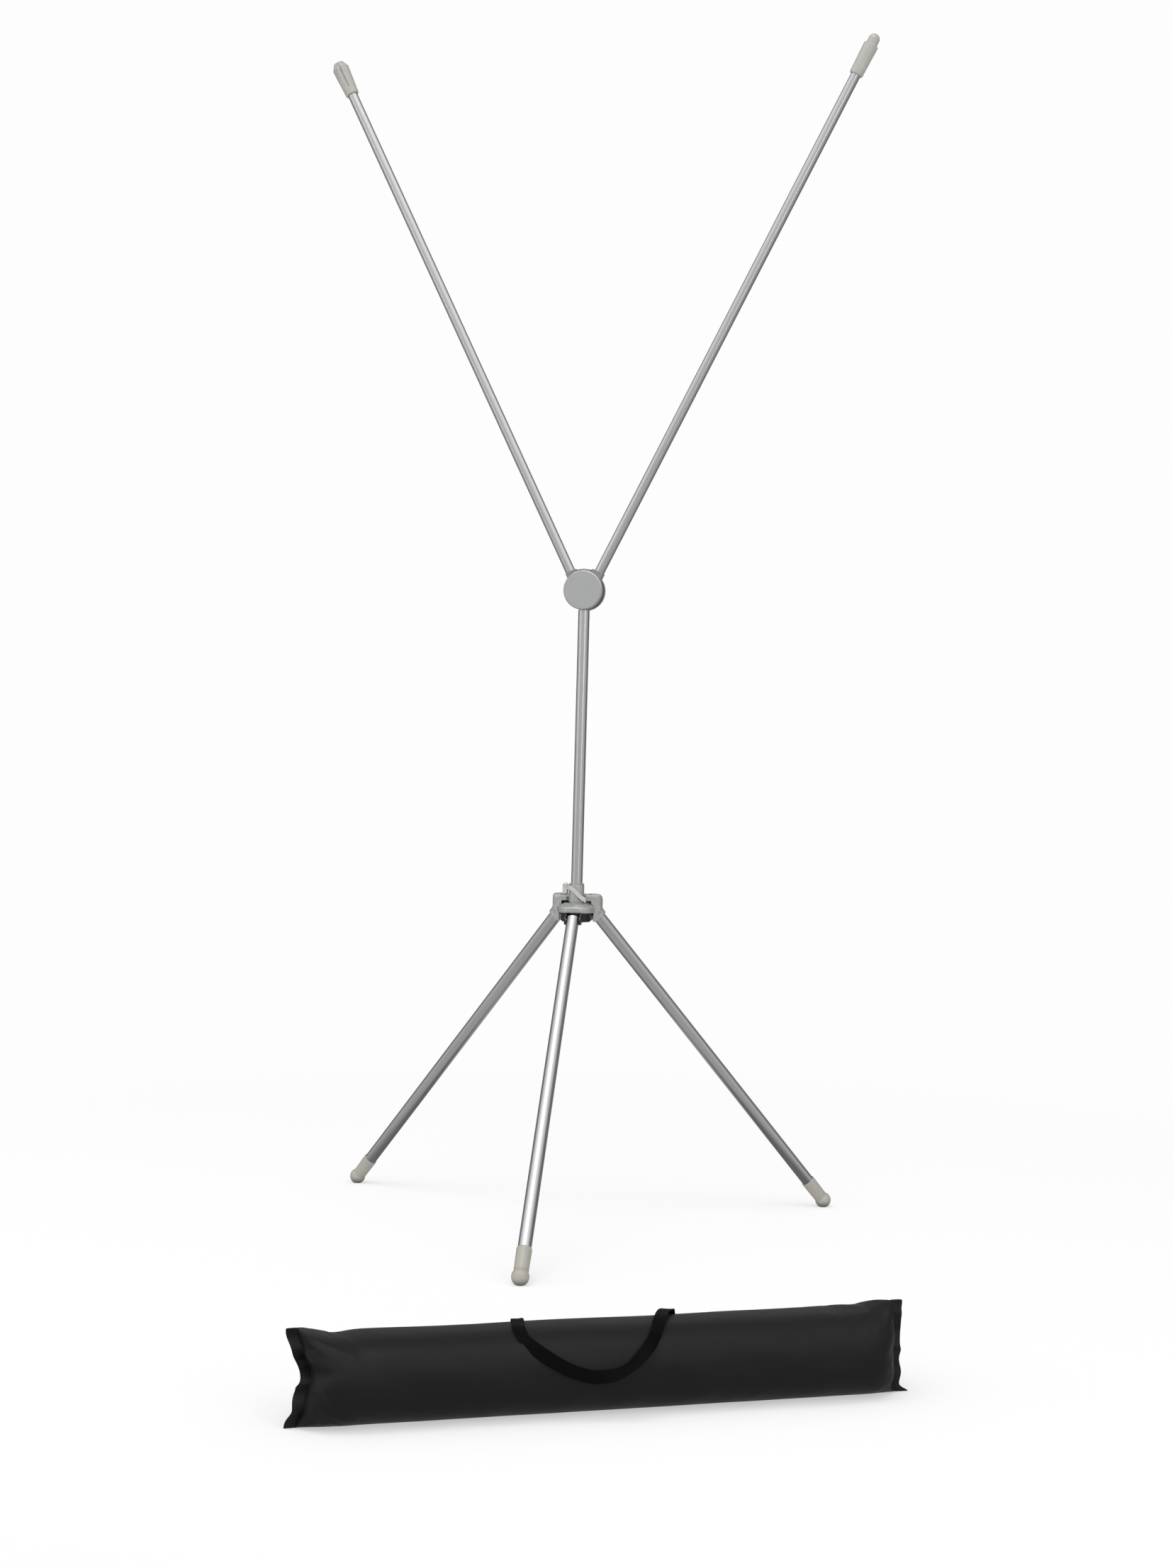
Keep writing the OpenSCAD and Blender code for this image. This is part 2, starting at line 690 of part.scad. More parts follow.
module at_posts() {
    for (side = [-1, 1]) translate([side * pivot_x, 0, hub_height + pivot_rise]) children();
}

module hub_front_plate() {
    color([0.62, 0.63, 0.63]) difference() {
        translate([0, -hub_gap / 2, hub_height]) mirror([0, 1, 0]) plate_blank();
        at_posts() rotate([90, 0, 0]) rod(post_r + seat / 2, hub_gap / 2 - 1, hub_gap / 2 + 4 + seat, $fn = 64);
    }
}

module hub_rear_plate() {
    color([0.60, 0.61, 0.61]) difference() {
        translate([0, hub_gap / 2, hub_height]) plate_blank();
        at_posts() rotate([-90, 0, 0]) screw_seat(3);
        for (z = [hub_height - 16, hub_height + 27]) translate([0, 0, z])
            rotate([-90, 0, 0]) screw_seat(screw_r);
    }
}

// Hole and countersink of a screw in the rear plate, along +Z.
module screw_seat(r) {
    outer = hub_gap / 2 + plate_t;
    rod(r + seat / 2, hub_gap / 2 - 1, outer + 1, $fn = 48);
    translate([0, 0, outer - r]) cylinder(r1 = r + seat, r2 = 2 * r + seat, h = r + 0.01, $fn = 48);
    rod(2 * r + seat, outer, outer + 1, $fn = 48);
}

// A countersunk screw along +Z with its head flush in the rear plate, and a driver recess.
module hub_screw(r, depth) {
    outer = hub_gap / 2 + plate_t;
    difference() {
        union() {
            rod(r, hub_gap / 2 - depth, outer - r + 0.1, $fn = 48);
            translate([0, 0, outer - r]) cylinder(r1 = r, r2 = 2 * r - 0.1, h = r - 0.1, $fn = 48);
        }
        translate([0, 0, outer - 1.2]) cylinder(r = r * 0.7, h = 2, $fn = 6);
    }
}

module hub_screws() {
    color([0.75, 0.75, 0.76]) {
        at_posts() rotate([-90, 0, 0]) hub_screw(3, 8);
        for (z = [hub_height - 16, hub_height + 27]) translate([0, 0, z])
            rotate([-90, 0, 0]) hub_screw(screw_r, 8);
    }
}

// Shouldered posts on which the arms turn, seated in blind holes of the front plate.
module pivot_posts() {
    color([0.78, 0.78, 0.79]) at_posts() rotate([-90, 0, 0]) difference() {
        rod(post_r, -hub_gap / 2 - 4, hub_gap / 2, $fn = 64);
        rod(3 + seat / 2, hub_gap / 2 - 8.5, hub_gap / 2 + 1, $fn = 48);
    }
}

module friction_washers() {
    color([0.85, 0.84, 0.80]) at_posts() for (side = [-1, 1])
        translate([0, side > 0 ? hub_gap / 2 - seat : -hub_gap / 2 + seat + washer_t, 0]) rotate([90, 0, 0])
            tube(arm_r - 0.5, post_r + seat, 0, washer_t);
}

// ---------------------------------------------------------------- arms

// Knuckle of an arm: a round eye on the post, a stop heel on the inner side and a spigot.
module arm_knuckle(side) {
    color([0.42, 0.43, 0.41]) arm_frame(side) difference() {
        union() {
            translate([0, knuckle_t / 2, 0]) rotate([90, 0, 0]) linear_extrude(height = knuckle_t) {
                circle(r = arm_r);
                translate([-arm_r, 0]) square([2 * arm_r, knuckle_end]);
                polygon([[-arm_r + 1, 6], [-arm_r - heel_out, 9.5], [-arm_r - heel_out, knuckle_end - 1],
                    [-arm_r - heel_out + 1, knuckle_end], [0, knuckle_end]]);
            }
            rod(arm_bore_r - seat, knuckle_end - 1, spigot_end);
        }
        rotate([90, 0, 0]) rod(post_r + fit, -20, 20, $fn = 64);
        translate([0, 0, arm_rivet_z]) rivet_hole(arm_r, 5);
    }
}

module arm_lower_tube(side) {
    color([0.79, 0.80, 0.81]) arm_frame(side) difference() {
        tube(arm_r, arm_bore_r, knuckle_end, arm_joint);
        translate([0, 0, arm_rivet_z]) rivet_hole(arm_r, 5);
        translate([0, 0, arm_joint - ferrule_reach / 2]) rivet_hole(arm_r, 5);
    }
}

// Ferrule riveted in the lower tube. The upper tube slides on its free half.
module arm_ferrule(side) {
    color([0.7, 0.71, 0.72]) arm_frame(side) difference() {
        union() {
            rod(arm_bore_r - fit, arm_joint - ferrule_reach, arm_joint + ferrule_reach - 3);
            translate([0, 0, arm_joint + ferrule_reach - 3])
                cylinder(r1 = arm_bore_r - fit, r2 = arm_bore_r - 2, h = 3);
        }
        rod(arm_bore_r - 2.5, arm_joint - ferrule_reach - 1, arm_joint + ferrule_reach + 1);
        translate([0, 0, arm_joint - ferrule_reach / 2]) rivet_hole(arm_r, 5);
    }
}

module arm_rivets(side) {
    color([0.7, 0.7, 0.7]) arm_frame(side)
        for (z = [arm_rivet_z, arm_joint - ferrule_reach / 2]) translate([0, 0, z]) rivet(arm_r, 5);
}

module arm_upper_tube(side) {
    color([0.79, 0.80, 0.81]) arm_frame(side) tube(arm_r, arm_bore_r, arm_joint, arm_length);
}

// Right end: a sleeve that widens to a bevelled shoulder, with a round-ended finger on it.
module arm_peg() {
    mouth_r = cap_bore_r + cap_wall;
    shoulder_r = mouth_r + 1.2;
    peg_r = peg_d / 2;
    bevel = shoulder_r - peg_r;
    color([0.30, 0.30, 0.29]) arm_frame(1) translate([0, 0, cap_mouth]) difference() {
        union() {
            cylinder(r1 = mouth_r - 0.8, r2 = mouth_r, h = 1.5);
            translate([0, 0, 1.5]) cylinder(r1 = mouth_r, r2 = shoulder_r, h = peg_body - 1.5);
            translate([0, 0, peg_body]) cylinder(r1 = shoulder_r, r2 = peg_r, h = bevel);
            rod(peg_r, peg_body, peg_body + peg_length - peg_r);
            translate([0, 0, peg_body + peg_length - peg_r]) sphere(r = peg_r);
        }
        rod(cap_bore_r, -1, cap_reach);
    }
}

// Left end: a sleeve that widens to a bevelled head, with a round-ended clip finger in a recess.
module arm_clip() {
    mouth_r = cap_bore_r + cap_wall;
    wide_r = clip_d / 2;
    neck = clip_length - 12;
    recess_top = clip_length - 3.5;
    finger_top = recess_top - 4.6;
    color([0.32, 0.32, 0.30]) arm_frame(-1) translate([0, 0, cap_mouth]) difference() {
        union() {
            difference() {
                union() {
                    cylinder(r1 = mouth_r - 0.8, r2 = mouth_r, h = 1.5);
                    translate([0, 0, 1.5]) cylinder(r1 = mouth_r, r2 = wide_r, h = neck - 1.5);
                    translate([0, 0, neck]) cylinder(r1 = wide_r, r2 = wide_r - 6.4, h = clip_length - neck);
                }
                translate([-4, -20, 14]) cube([13.5, 9, recess_top - 14]);
            }
            translate([2.7, -7.6, 8]) {
                cylinder(r = 5.6, h = finger_top - 8 - 5.6);
                translate([0, 0, finger_top - 8 - 5.6]) sphere(r = 5.6);
            }
        }
        rod(cap_bore_r, -1, cap_reach);
    }
}

// ---------------------------------------------------------------- carry bag

// The bag's section: round at both sides and flat above and below.
module bag_section(grow) {
    for (side = [-1, 1]) translate([side * bag_round_x, bag_round_r]) circle(r = bag_round_r + grow);
    translate([-bag_round_x, -grow]) square([2 * bag_round_x, bag_height + 2 * grow]);
}

// The bag's frame: x along the bag, y across it, on the floor.
module bag_frame() {
    translate([bag_aside, -bag_ahead, 0]) rotate([0, 0, bag_turn]) children();
}

module bag_body() {
    color([0.13, 0.13, 0.14]) bag_frame() translate([-bag_length / 2, 0, 0])
        rotate([90, 0, 90]) linear_extrude(height = bag_length) bag_section(0);
}

// Webbing handle: a flat band that hangs down over the front of the bag in a U.
module bag_handle() {
    drop = bag_height * 0.62;
    half = bag_length * 0.125;
    bend_r = half - webbing_w / 2;
    color([0.10, 0.10, 0.11]) bag_frame() intersection() {
        translate([-bag_length / 2, 0, 0]) rotate([90, 0, 90]) linear_extrude(height = bag_length)
            difference() {
                bag_section(gap + bag_skin);
                bag_section(gap);
            }
        translate([0, 1, 0]) rotate([90, 0, 0]) linear_extrude(height = bag_width) {
            difference() {
                union() {
                    translate([0, bag_height - drop + bend_r]) circle(r = bend_r + webbing_w / 2);
                    translate([-half, bag_height - drop + bend_r]) square([2 * half, far]);
                }
                translate([0, bag_height - drop + bend_r]) circle(r = bend_r - webbing_w / 2);
                translate([-half + webbing_w, bag_height - drop + bend_r])
                    square([2 * half - 2 * webbing_w, 2 * far]);
            }
        }
    }
}

// ---------------------------------------------------------------- nodes

head_casting();
collar_ring();
base_drum();
base_bolt();
base_washer();
leg_pivot_pins();
clamp_lever();
lever_pin();
clamp_pad();
split_bush();
leg_tube(leg_turns[0]);  // leg_front_tube
leg_plug(leg_turns[0]);  // leg_front_plug
leg_foot(leg_turns[0]);  // leg_front_foot
leg_tube(leg_turns[1]);  // leg_right_tube
leg_plug(leg_turns[1]);  // leg_right_plug
leg_foot(leg_turns[1]);  // leg_right_foot
leg_tube(leg_turns[2]);  // leg_left_tube
leg_plug(leg_turns[2]);  // leg_left_plug
leg_foot(leg_turns[2]);  // leg_left_foot
mast_tube();
mast_end_plug();
mast_rivets();
hub_core();
hub_front_plate();
hub_rear_plate();
pivot_posts();
hub_screws();
friction_washers();
arm_knuckle(1);  // arm_right_knuckle
arm_lower_tube(1);  // arm_right_lower_tube
arm_ferrule(1);  // arm_right_ferrule
arm_rivets(1);  // arm_right_rivets
arm_upper_tube(1);  // arm_right_upper_tube
arm_peg();  // arm_right_peg
arm_knuckle(-1);  // arm_left_knuckle
arm_lower_tube(-1);  // arm_left_lower_tube
arm_ferrule(-1);  // arm_left_ferrule
arm_rivets(-1);  // arm_left_rivets
arm_upper_tube(-1);  // arm_left_upper_tube
arm_clip();  // arm_left_clip
bag_body();
bag_handle();
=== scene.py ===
"""Background support: a folding tripod with a mast, two hinged arms in two parts, and its carry bag."""

import bmesh
import bpy
import numpy as np
from mathutils import Matrix, Vector


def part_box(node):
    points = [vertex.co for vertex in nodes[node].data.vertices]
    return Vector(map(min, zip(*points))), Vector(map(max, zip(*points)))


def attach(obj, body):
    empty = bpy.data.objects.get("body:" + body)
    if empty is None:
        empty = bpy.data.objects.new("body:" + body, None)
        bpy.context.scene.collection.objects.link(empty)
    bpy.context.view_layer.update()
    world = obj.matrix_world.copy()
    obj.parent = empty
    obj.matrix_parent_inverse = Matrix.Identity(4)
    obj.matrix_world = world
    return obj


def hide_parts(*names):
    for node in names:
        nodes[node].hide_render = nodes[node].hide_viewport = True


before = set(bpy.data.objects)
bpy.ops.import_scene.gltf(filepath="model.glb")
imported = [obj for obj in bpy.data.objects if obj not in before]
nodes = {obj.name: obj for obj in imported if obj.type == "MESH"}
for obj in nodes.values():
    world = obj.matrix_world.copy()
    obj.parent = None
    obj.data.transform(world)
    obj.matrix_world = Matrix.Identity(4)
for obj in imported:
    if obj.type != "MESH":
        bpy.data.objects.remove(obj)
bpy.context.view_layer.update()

# ---------------------------------------------------------------- where the viewer stands
# A long lens, a little under 0.9 m above the floor and a little to the right of the stand's front.
viewer = Vector((0.97559524, -4.28581599, 0.86688224))
ahead = Vector((-0.21894561, 0.97571472, -0.00660281))
rightward = Vector((0.97534903, 0.21904435, 0.02671790))
upward = rightward.cross(ahead)
lens = bpy.data.cameras.new("viewer")
lens.sensor_fit = "HORIZONTAL"
lens.sensor_width = 36.0
lens.lens = 70.373
lens.clip_end = 80.0
camera = bpy.data.objects.new("viewer", lens)
bpy.context.scene.collection.objects.link(camera)
camera.matrix_world = Matrix(
    [[rightward[i], upward[i], -ahead[i], viewer[i]] for i in range(3)] + [[0, 0, 0, 1]]
)
bpy.context.scene.camera = camera
bpy.context.scene.view_settings.view_transform = "Standard"


# ---------------------------------------------------------------- studio
# A white sweep of paper under a white backdrop. The room in front is pale, and the room behind the
# sweep's sides is dim, which gives round metal its darker edges.
# A bearing runs from -1, in front, to 1, straight behind: the room dims between the first two of these,
# and the backdrop comes in between the last two
dim_from, dim_to, backdrop_from, backdrop_to = -0.15, 0.48, 0.82, 0.95


def linear(code):
    """sRGB hex to linear: c / 12.92 up to 0.04045, and ((c + 0.055) / 1.055) to the power 2.4 above it."""
    part = np.array([int(code[i : i + 2], 16) for i in (0, 2, 4)]) / 255
    part = np.where(part <= 0.04045, part / 12.92, ((part + 0.055) / 1.055) ** 2.4)
    return (*part.tolist(), 1.0)


def add(tree, kind, settings=None, values=None):
    """Adds one node with its settings. Each value is a number, a colour, or a socket to link from."""
    made = tree.nodes.new("ShaderNode" + kind)
    for name, value in (settings or {}).items():
        setattr(made, name, value)
    for name, value in (values or {}).items():
        if isinstance(value, bpy.types.NodeSocket):
            tree.links.new(value, made.inputs[name])
        else:
            made.inputs[name].default_value = value
    return made


room = bpy.data.worlds.new("studio_room")
bpy.context.scene.world = room
room.use_nodes = True
room.node_tree.nodes.clear()
tree = room.node_tree
seen = add(tree, "LightPath")
way = add(tree, "TexCoord")
bearing = add(tree, "SeparateXYZ", None, {0: way.outputs["Generated"]})
# what shiny pieces mirror: a pale room in front, dimming to a dark one behind the sweep's sides,
# which draws a dark edge on round metal, and pale again straight behind, where the backdrop itself is
front = add(tree, "MapRange", {"interpolation_type": "SMOOTHSTEP"}, {
    "Value": bearing.outputs["Y"], "From Min": dim_from, "From Max": dim_to, "To Min": 0.67, "To Max": 0.15})
ceiling = add(tree, "MapRange", {"interpolation_type": "SMOOTHSTEP"}, {
    "Value": bearing.outputs["Z"], "From Min": 0.05, "From Max": 0.80, "To Min": 1.0, "To Max": 1.85})
above = add(tree, "Math", {"operation": "MULTIPLY"}, {0: front.outputs[0], 1: ceiling.outputs[0]})
backdrop = add(tree, "MapRange", {"interpolation_type": "SMOOTHSTEP"}, {
    "Value": bearing.outputs["Y"], "From Min": backdrop_from, "From Max": backdrop_to})
mirrored = add(tree, "Mix", {"data_type": "FLOAT"}, {
    0: backdrop.outputs[0], 2: above.outputs[0], 3: 0.66})
# what lights dull pieces comes mostly from the front and from above, so that round ones darken at
# both edges
frontal = add(tree, "MapRange", {"interpolation_type": "SMOOTHSTEP"}, {
    "Value": bearing.outputs["Y"], "From Min": -1.0, "From Max": 0.35, "To Min": 1.10, "To Max": 0.33})
falling = add(tree, "Math", {"operation": "MULTIPLY"}, {0: frontal.outputs[0], 1: ceiling.outputs[0]})
spread = add(tree, "Mix", {"data_type": "FLOAT"}, {
    0: seen.outputs["Is Glossy Ray"], 2: falling.outputs[0], 3: mirrored.outputs[0]})
direct = add(tree, "Math", {"operation": "MAXIMUM"}, {
    0: seen.outputs["Is Camera Ray"], 1: seen.outputs["Is Transmission Ray"]})
level = add(tree, "Mix", {"data_type": "FLOAT"}, {0: direct.outputs[0], 2: spread.outputs[0], 3: 1.0})
glow = add(tree, "Background", None, {"Color": linear("FDFDFD"), "Strength": level.outputs[0]})
add(tree, "OutputWorld", None, {"Surface": glow.outputs[0]})
# the room is even, so light paths find it by themselves, with less grain than by aiming at it
room.cycles.sampling_method = "NONE"

paper_mesh = bpy.data.meshes.new("paper_sweep")
paper_mesh.from_pydata([(-20, -20, 0), (20, -20, 0), (20, 20, 0), (-20, 20, 0)], [], [(0, 1, 2, 3)])
paper_sweep = bpy.data.objects.new("paper_sweep", paper_mesh)
bpy.context.scene.collection.objects.link(paper_sweep)
paper = bpy.data.materials.new("white_sweep_paper")
paper.use_nodes = True
paper.node_tree.nodes.clear()
tree = paper.node_tree
seen = add(tree, "LightPath")
place = add(tree, "TexCoord")
reach = add(tree, "VectorMath", {"operation": "LENGTH"}, {0: place.outputs["Object"]})
# beyond the object the paper turns into the backdrop's white, so that no horizon shows
fade = add(tree, "MapRange", {"interpolation_type": "SMOOTHSTEP"}, {
    "Value": reach.outputs["Value"], "From Min": 1.5, "From Max": 2.6, "To Min": 0.50, "To Max": 1.0})
shown = add(tree, "Math", {"operation": "MULTIPLY"}, {
    0: seen.outputs["Is Camera Ray"], 1: fade.outputs[0]})
matt = add(tree, "BsdfDiffuse", None, {"Color": linear("F4F4F4")})
white = add(tree, "Emission", None, {"Color": linear("FDFDFD"), "Strength": 1.0})
both = add(tree, "MixShader", None, {0: shown.outputs[0], 1: matt.outputs[0], 2: white.outputs[0]})
# metal mirrors the paper as an even grey that follows the room above it: pale in front, dark behind
# the object's sides, and pale again straight behind
north = add(tree, "SeparateXYZ", None, {0: place.outputs["Object"]})
bearing = add(tree, "Math", {"operation": "DIVIDE"}, {0: north.outputs["Y"], 1: reach.outputs["Value"]})
dim = add(tree, "MapRange", {"interpolation_type": "SMOOTHSTEP"}, {
    "Value": bearing.outputs[0], "From Min": dim_from, "From Max": dim_to, "To Min": 0.53, "To Max": 0.20})
behind = add(tree, "MapRange", {"interpolation_type": "SMOOTHSTEP"}, {
    "Value": bearing.outputs[0], "From Min": backdrop_from, "From Max": backdrop_to})
floor_level = add(tree, "Mix", {"data_type": "FLOAT"}, {0: behind.outputs[0], 2: dim.outputs[0], 3: 0.46})
floor_mirrored = add(tree, "Emission", None, {
    "Color": linear("FDFDFD"), "Strength": floor_level.outputs[0]})
laid_out = add(tree, "MixShader", None, {
    0: seen.outputs["Is Glossy Ray"], 1: both.outputs[0], 2: floor_mirrored.outputs[0]})
add(tree, "OutputMaterial", None, {"Surface": laid_out.outputs[0]})
paper_mesh.materials.append(paper)

# a soft box overhead and two tall, narrow, weaker ones at the front left and the front right
for name, spot, target, wide, tall, power in (
    ("soft_box_over", (-0.2, -2.2, 6.8), (0.0, 0.0, 0.9), 3.8, 2.8, 92.0),
    ("soft_box_left", (-3.3, -2.6, 1.7), (0.0, 0.0, 1.0), 0.5, 2.6, 7.0),
    ("soft_box_right", (3.0, -3.4, 1.8), (0.0, 0.0, 1.0), 0.5, 2.6, 10.0),
):
    lamp = bpy.data.lights.new(name, "AREA")
    lamp.shape = "RECTANGLE"
    lamp.size = wide
    lamp.size_y = tall
    lamp.energy = power
    held = bpy.data.objects.new(name, lamp)
    bpy.context.scene.collection.objects.link(held)
    aim = (Vector(target) - Vector(spot)).to_track_quat("-Z", "Y").to_matrix().to_4x4()
    held.matrix_world = Matrix.Translation(spot) @ aim


# ---------------------------------------------------------------- tubes
# Legs, mast and arms are thin-walled aluminium tube, drawn, etched and anodised natural, so the
# surface is satin with very fine lines along each tube.
def points_of(mesh):
    """A mesh's points as an array with one row for each."""
    flat = np.empty(len(mesh.vertices) * 3, np.float32)
    mesh.vertices.foreach_get("co", flat)
    return flat.reshape(-1, 3)


def run_of(name):
    """The direction a long piece runs in: the axis along which its own points spread the most."""
    points = points_of(nodes[name].data)
    return Vector(np.linalg.svd(points - points.mean(0), full_matrices=False)[2][0].tolist())


def dress(material, *names):
    """Puts a material on CAD nodes, in the slots they already have."""
    for name in names:
        for i in range(len(nodes[name].data.materials)):
            nodes[name].data.materials[i] = material


def begin(name):
    """An empty material, its tree, and its coordinates in metres."""
    material = bpy.data.materials.new(name)
    material.use_nodes = True
    material.node_tree.nodes.clear()
    tree = material.node_tree
    return material, tree, add(tree, "TexCoord").outputs["Object"]


for name in ("leg_front_tube", "leg_right_tube", "leg_left_tube", "mast_tube", "arm_right_lower_tube",
             "arm_right_upper_tube", "arm_left_lower_tube", "arm_left_upper_tube"):
    # natural anodised aluminium, drawn: a pale satin grey, streaked along the tube. The real die
    # lines are 0.1 mm wide, too fine to show, so they are drawn 1 mm wide and 90 mm long
    metal, tree, metres = begin("anodised_aluminium_" + name)
    tilt = run_of(name).to_track_quat("Z", "Y").to_euler()
    along = add(tree, "Mapping", {"vector_type": "TEXTURE"}, {
        "Vector": metres, "Rotation": tilt, "Scale": (0.001, 0.001, 0.09)})
    lines = add(tree, "TexNoise", None, {
        "Vector": along.outputs[0], "Scale": 1.0, "Detail": 3.0, "Roughness": 0.6})
    # slow changes of the etched bath's finish, a hand's width apart, and small scuffs from handling
    clouds = add(tree, "TexNoise", None, {"Vector": metres, "Scale": 11.0, "Detail": 2.0})
    scuffs = add(tree, "TexNoise", None, {"Vector": metres, "Scale": 240.0, "Detail": 4.0, "Roughness": 0.7})
    scuffed = add(tree, "MapRange", None, {
        "Value": scuffs.outputs["Fac"], "From Min": 0.60, "From Max": 0.75, "To Min": 0.0, "To Max": 0.03})
    streak = add(tree, "Mix", {"data_type": "RGBA"}, {
        0: lines.outputs["Fac"], 6: linear("C9C9C9"), 7: linear("D1D1D1")})
    tone = add(tree, "Mix", {"data_type": "RGBA", "blend_type": "MULTIPLY"}, {
        0: clouds.outputs["Fac"], 6: streak.outputs[2], 7: linear("F7F7F8")})
    satin = add(tree, "MapRange", None, {
        "Value": lines.outputs["Fac"], "From Min": 0.3, "From Max": 0.7, "To Min": 0.27, "To Max": 0.31})
    worn = add(tree, "Math", {"operation": "ADD"}, {0: satin.outputs[0], 1: scuffed.outputs[0]})
    raised = add(tree, "Bump", None, {
        "Height": lines.outputs["Fac"], "Strength": 0.02, "Distance": 0.0001})
    shader = add(tree, "BsdfPrincipled", None, {
        "Base Color": tone.outputs[2], "Roughness": worn.outputs[0], "Normal": raised.outputs[0],
        "Metallic": 1.0})
    add(tree, "OutputMaterial", None, {"Surface": shader.outputs[0]})
    dress(metal, name)

# Plugs in the tubes' ends: injection-moulded black nylon, dull, with a fine spark-eroded grain.
nylon, tree, metres = begin("moulded_black_nylon")
grain = add(tree, "TexNoise", None, {"Vector": metres, "Scale": 900.0, "Detail": 3.0})
cloud = add(tree, "TexNoise", None, {"Vector": metres, "Scale": 60.0, "Detail": 2.0})
tone = add(tree, "Mix", {"data_type": "RGBA"}, {
    0: cloud.outputs["Fac"], 6: linear("161617"), 7: linear("202021")})
matt = add(tree, "MapRange", None, {"Value": grain.outputs["Fac"], "To Min": 0.38, "To Max": 0.58})
pitted = add(tree, "Bump", None, {"Height": grain.outputs["Fac"], "Strength": 0.15, "Distance": 0.0002})
shader = add(tree, "BsdfPrincipled", None, {
    "Base Color": tone.outputs[2], "Roughness": matt.outputs[0], "Normal": pitted.outputs[0], "IOR": 1.53})
add(tree, "OutputMaterial", None, {"Surface": shader.outputs[0]})
dress(nylon, "leg_front_plug", "leg_right_plug", "leg_left_plug", "mast_end_plug")

# Feet: socks of soft PVC, dip-moulded in warm grey and pushed over the tubes. They are smooth and a little
# shiny, and scuffed dull where they stand on the floor; there their colour is also darkened as painted
# shade.
vinyl, tree, metres = begin("dip_moulded_grey_pvc")
cloud = add(tree, "TexNoise", None, {"Vector": metres, "Scale": 45.0, "Detail": 3.0})
skin = add(tree, "TexNoise", None, {"Vector": metres, "Scale": 420.0, "Detail": 3.0})
height = add(tree, "SeparateXYZ", None, {0: metres})
sole = add(tree, "MapRange", {"interpolation_type": "SMOOTHSTEP"}, {
    "Value": height.outputs["Z"], "From Min": 0.002, "From Max": 0.014, "To Min": 1.0, "To Max": 0.0})
tone = add(tree, "Mix", {"data_type": "RGBA"}, {
    0: cloud.outputs["Fac"], 6: linear("98958D"), 7: linear("A7A49C")})
# painted shade: between 14 mm and 2 mm above the floor the colour darkens to a deeper grey, standing in for
# the shade under the foot's ball; the same mask also makes the roughness duller, which is real scuffing
painted_floor_shade = add(tree, "Mix", {"data_type": "RGBA"}, {
    0: sole.outputs[0], 6: tone.outputs[2], 7: linear("6F6B64")})
gloss = add(tree, "MapRange", None, {"Value": skin.outputs["Fac"], "To Min": 0.22, "To Max": 0.40})
dull = add(tree, "Mix", {"data_type": "FLOAT"}, {0: sole.outputs[0], 2: gloss.outputs[0], 3: 0.65})
uneven = add(tree, "Bump", None, {"Height": cloud.outputs["Fac"], "Strength": 0.25, "Distance": 0.0015})
shader = add(tree, "BsdfPrincipled", None, {
    "Base Color": painted_floor_shade.outputs[2], "Roughness": dull.outputs[0], "Normal": uneven.outputs[0],
    "IOR": 1.52})
add(tree, "OutputMaterial", None, {"Surface": shader.outputs[0]})
dress(vinyl, "leg_front_foot", "leg_right_foot", "leg_left_foot")

# ---------------------------------------------------------------- tripod head
# Socket, hoods and ring are zinc die castings with silver-grey stoving enamel. The flakes in it make
# it half metallic, and it has a faint orange peel.
enamel, tree, metres = begin("silver_enamel_on_zinc_casting")
peel = add(tree, "TexNoise", None, {"Vector": metres, "Scale": 700.0, "Detail": 2.0})
cloud = add(tree, "TexNoise", None, {"Vector": metres, "Scale": 38.0, "Detail": 3.0})
tone = add(tree, "Mix", {"data_type": "RGBA"}, {
    0: cloud.outputs["Fac"], 6: linear("A8AAA7"), 7: linear("B2B4B1")})
sheen = add(tree, "MapRange", None, {"Value": peel.outputs["Fac"], "To Min": 0.28, "To Max": 0.34})
orange = add(tree, "Bump", None, {"Height": peel.outputs["Fac"], "Strength": 0.05, "Distance": 0.0001})
shader = add(tree, "BsdfPrincipled", None, {
    "Base Color": tone.outputs[2], "Roughness": sheen.outputs[0], "Normal": orange.outputs[0],
    "Metallic": 0.55})
add(tree, "OutputMaterial", None, {"Surface": shader.outputs[0]})


def cast_skin(name, grid, passes):
    """A die casting's skin: a merged copy of the solid, remade in cells of the grid's size, whose points
    are then moved halfway to their neighbours' mean, which rounds every edge as the die's radii do."""
    skin = bmesh.new()
    skin.from_mesh(nodes[name].data)
    bmesh.ops.remove_doubles(skin, verts=skin.verts, dist=0.00001)
    mesh = bpy.data.meshes.new(name + "_skin")
    skin.to_mesh(mesh)
    skin.free()
    made = bpy.data.objects.new(name + "_skin", mesh)
    bpy.context.scene.collection.objects.link(made)
    cells = made.modifiers.new("cells", "REMESH")
    cells.mode = "VOXEL"
    cells.voxel_size = grid
    cells.use_smooth_shade = True
    rounded = made.modifiers.new("rounded", "SMOOTH")
    rounded.factor = 0.5
    rounded.iterations = passes
    finished = bpy.data.meshes.new_from_object(made.evaluated_get(bpy.context.evaluated_depsgraph_get()))
    made.modifiers.clear()
    made.data = finished
    bpy.data.meshes.remove(mesh)
    finished.materials.clear()
    return made


def rounded_corner(a, b, end_a, end_b, radius):
    """Turns a square corner round: with both distances into the corner as parts p and q of the radius,
    they become p times the root of 1 - q^2 / 2, and q times the root of 1 - p^2 / 2."""
    p = np.clip((a - end_a + radius) / radius, 0, 1)
    q = np.clip((b - end_b + radius) / radius, 0, 1)
    return a - p * radius * (1 - np.sqrt(1 - q**2 / 2)), b - q * radius * (1 - np.sqrt(1 - p**2 / 2))


def put_points(mesh, points):
    """Puts an array with one row for each point back into its mesh."""
    mesh.vertices.foreach_set("co", points.astype(np.float32).ravel())


head = cast_skin("head_casting", 0.0009, 12)
points = points_of(head.data).astype(float)
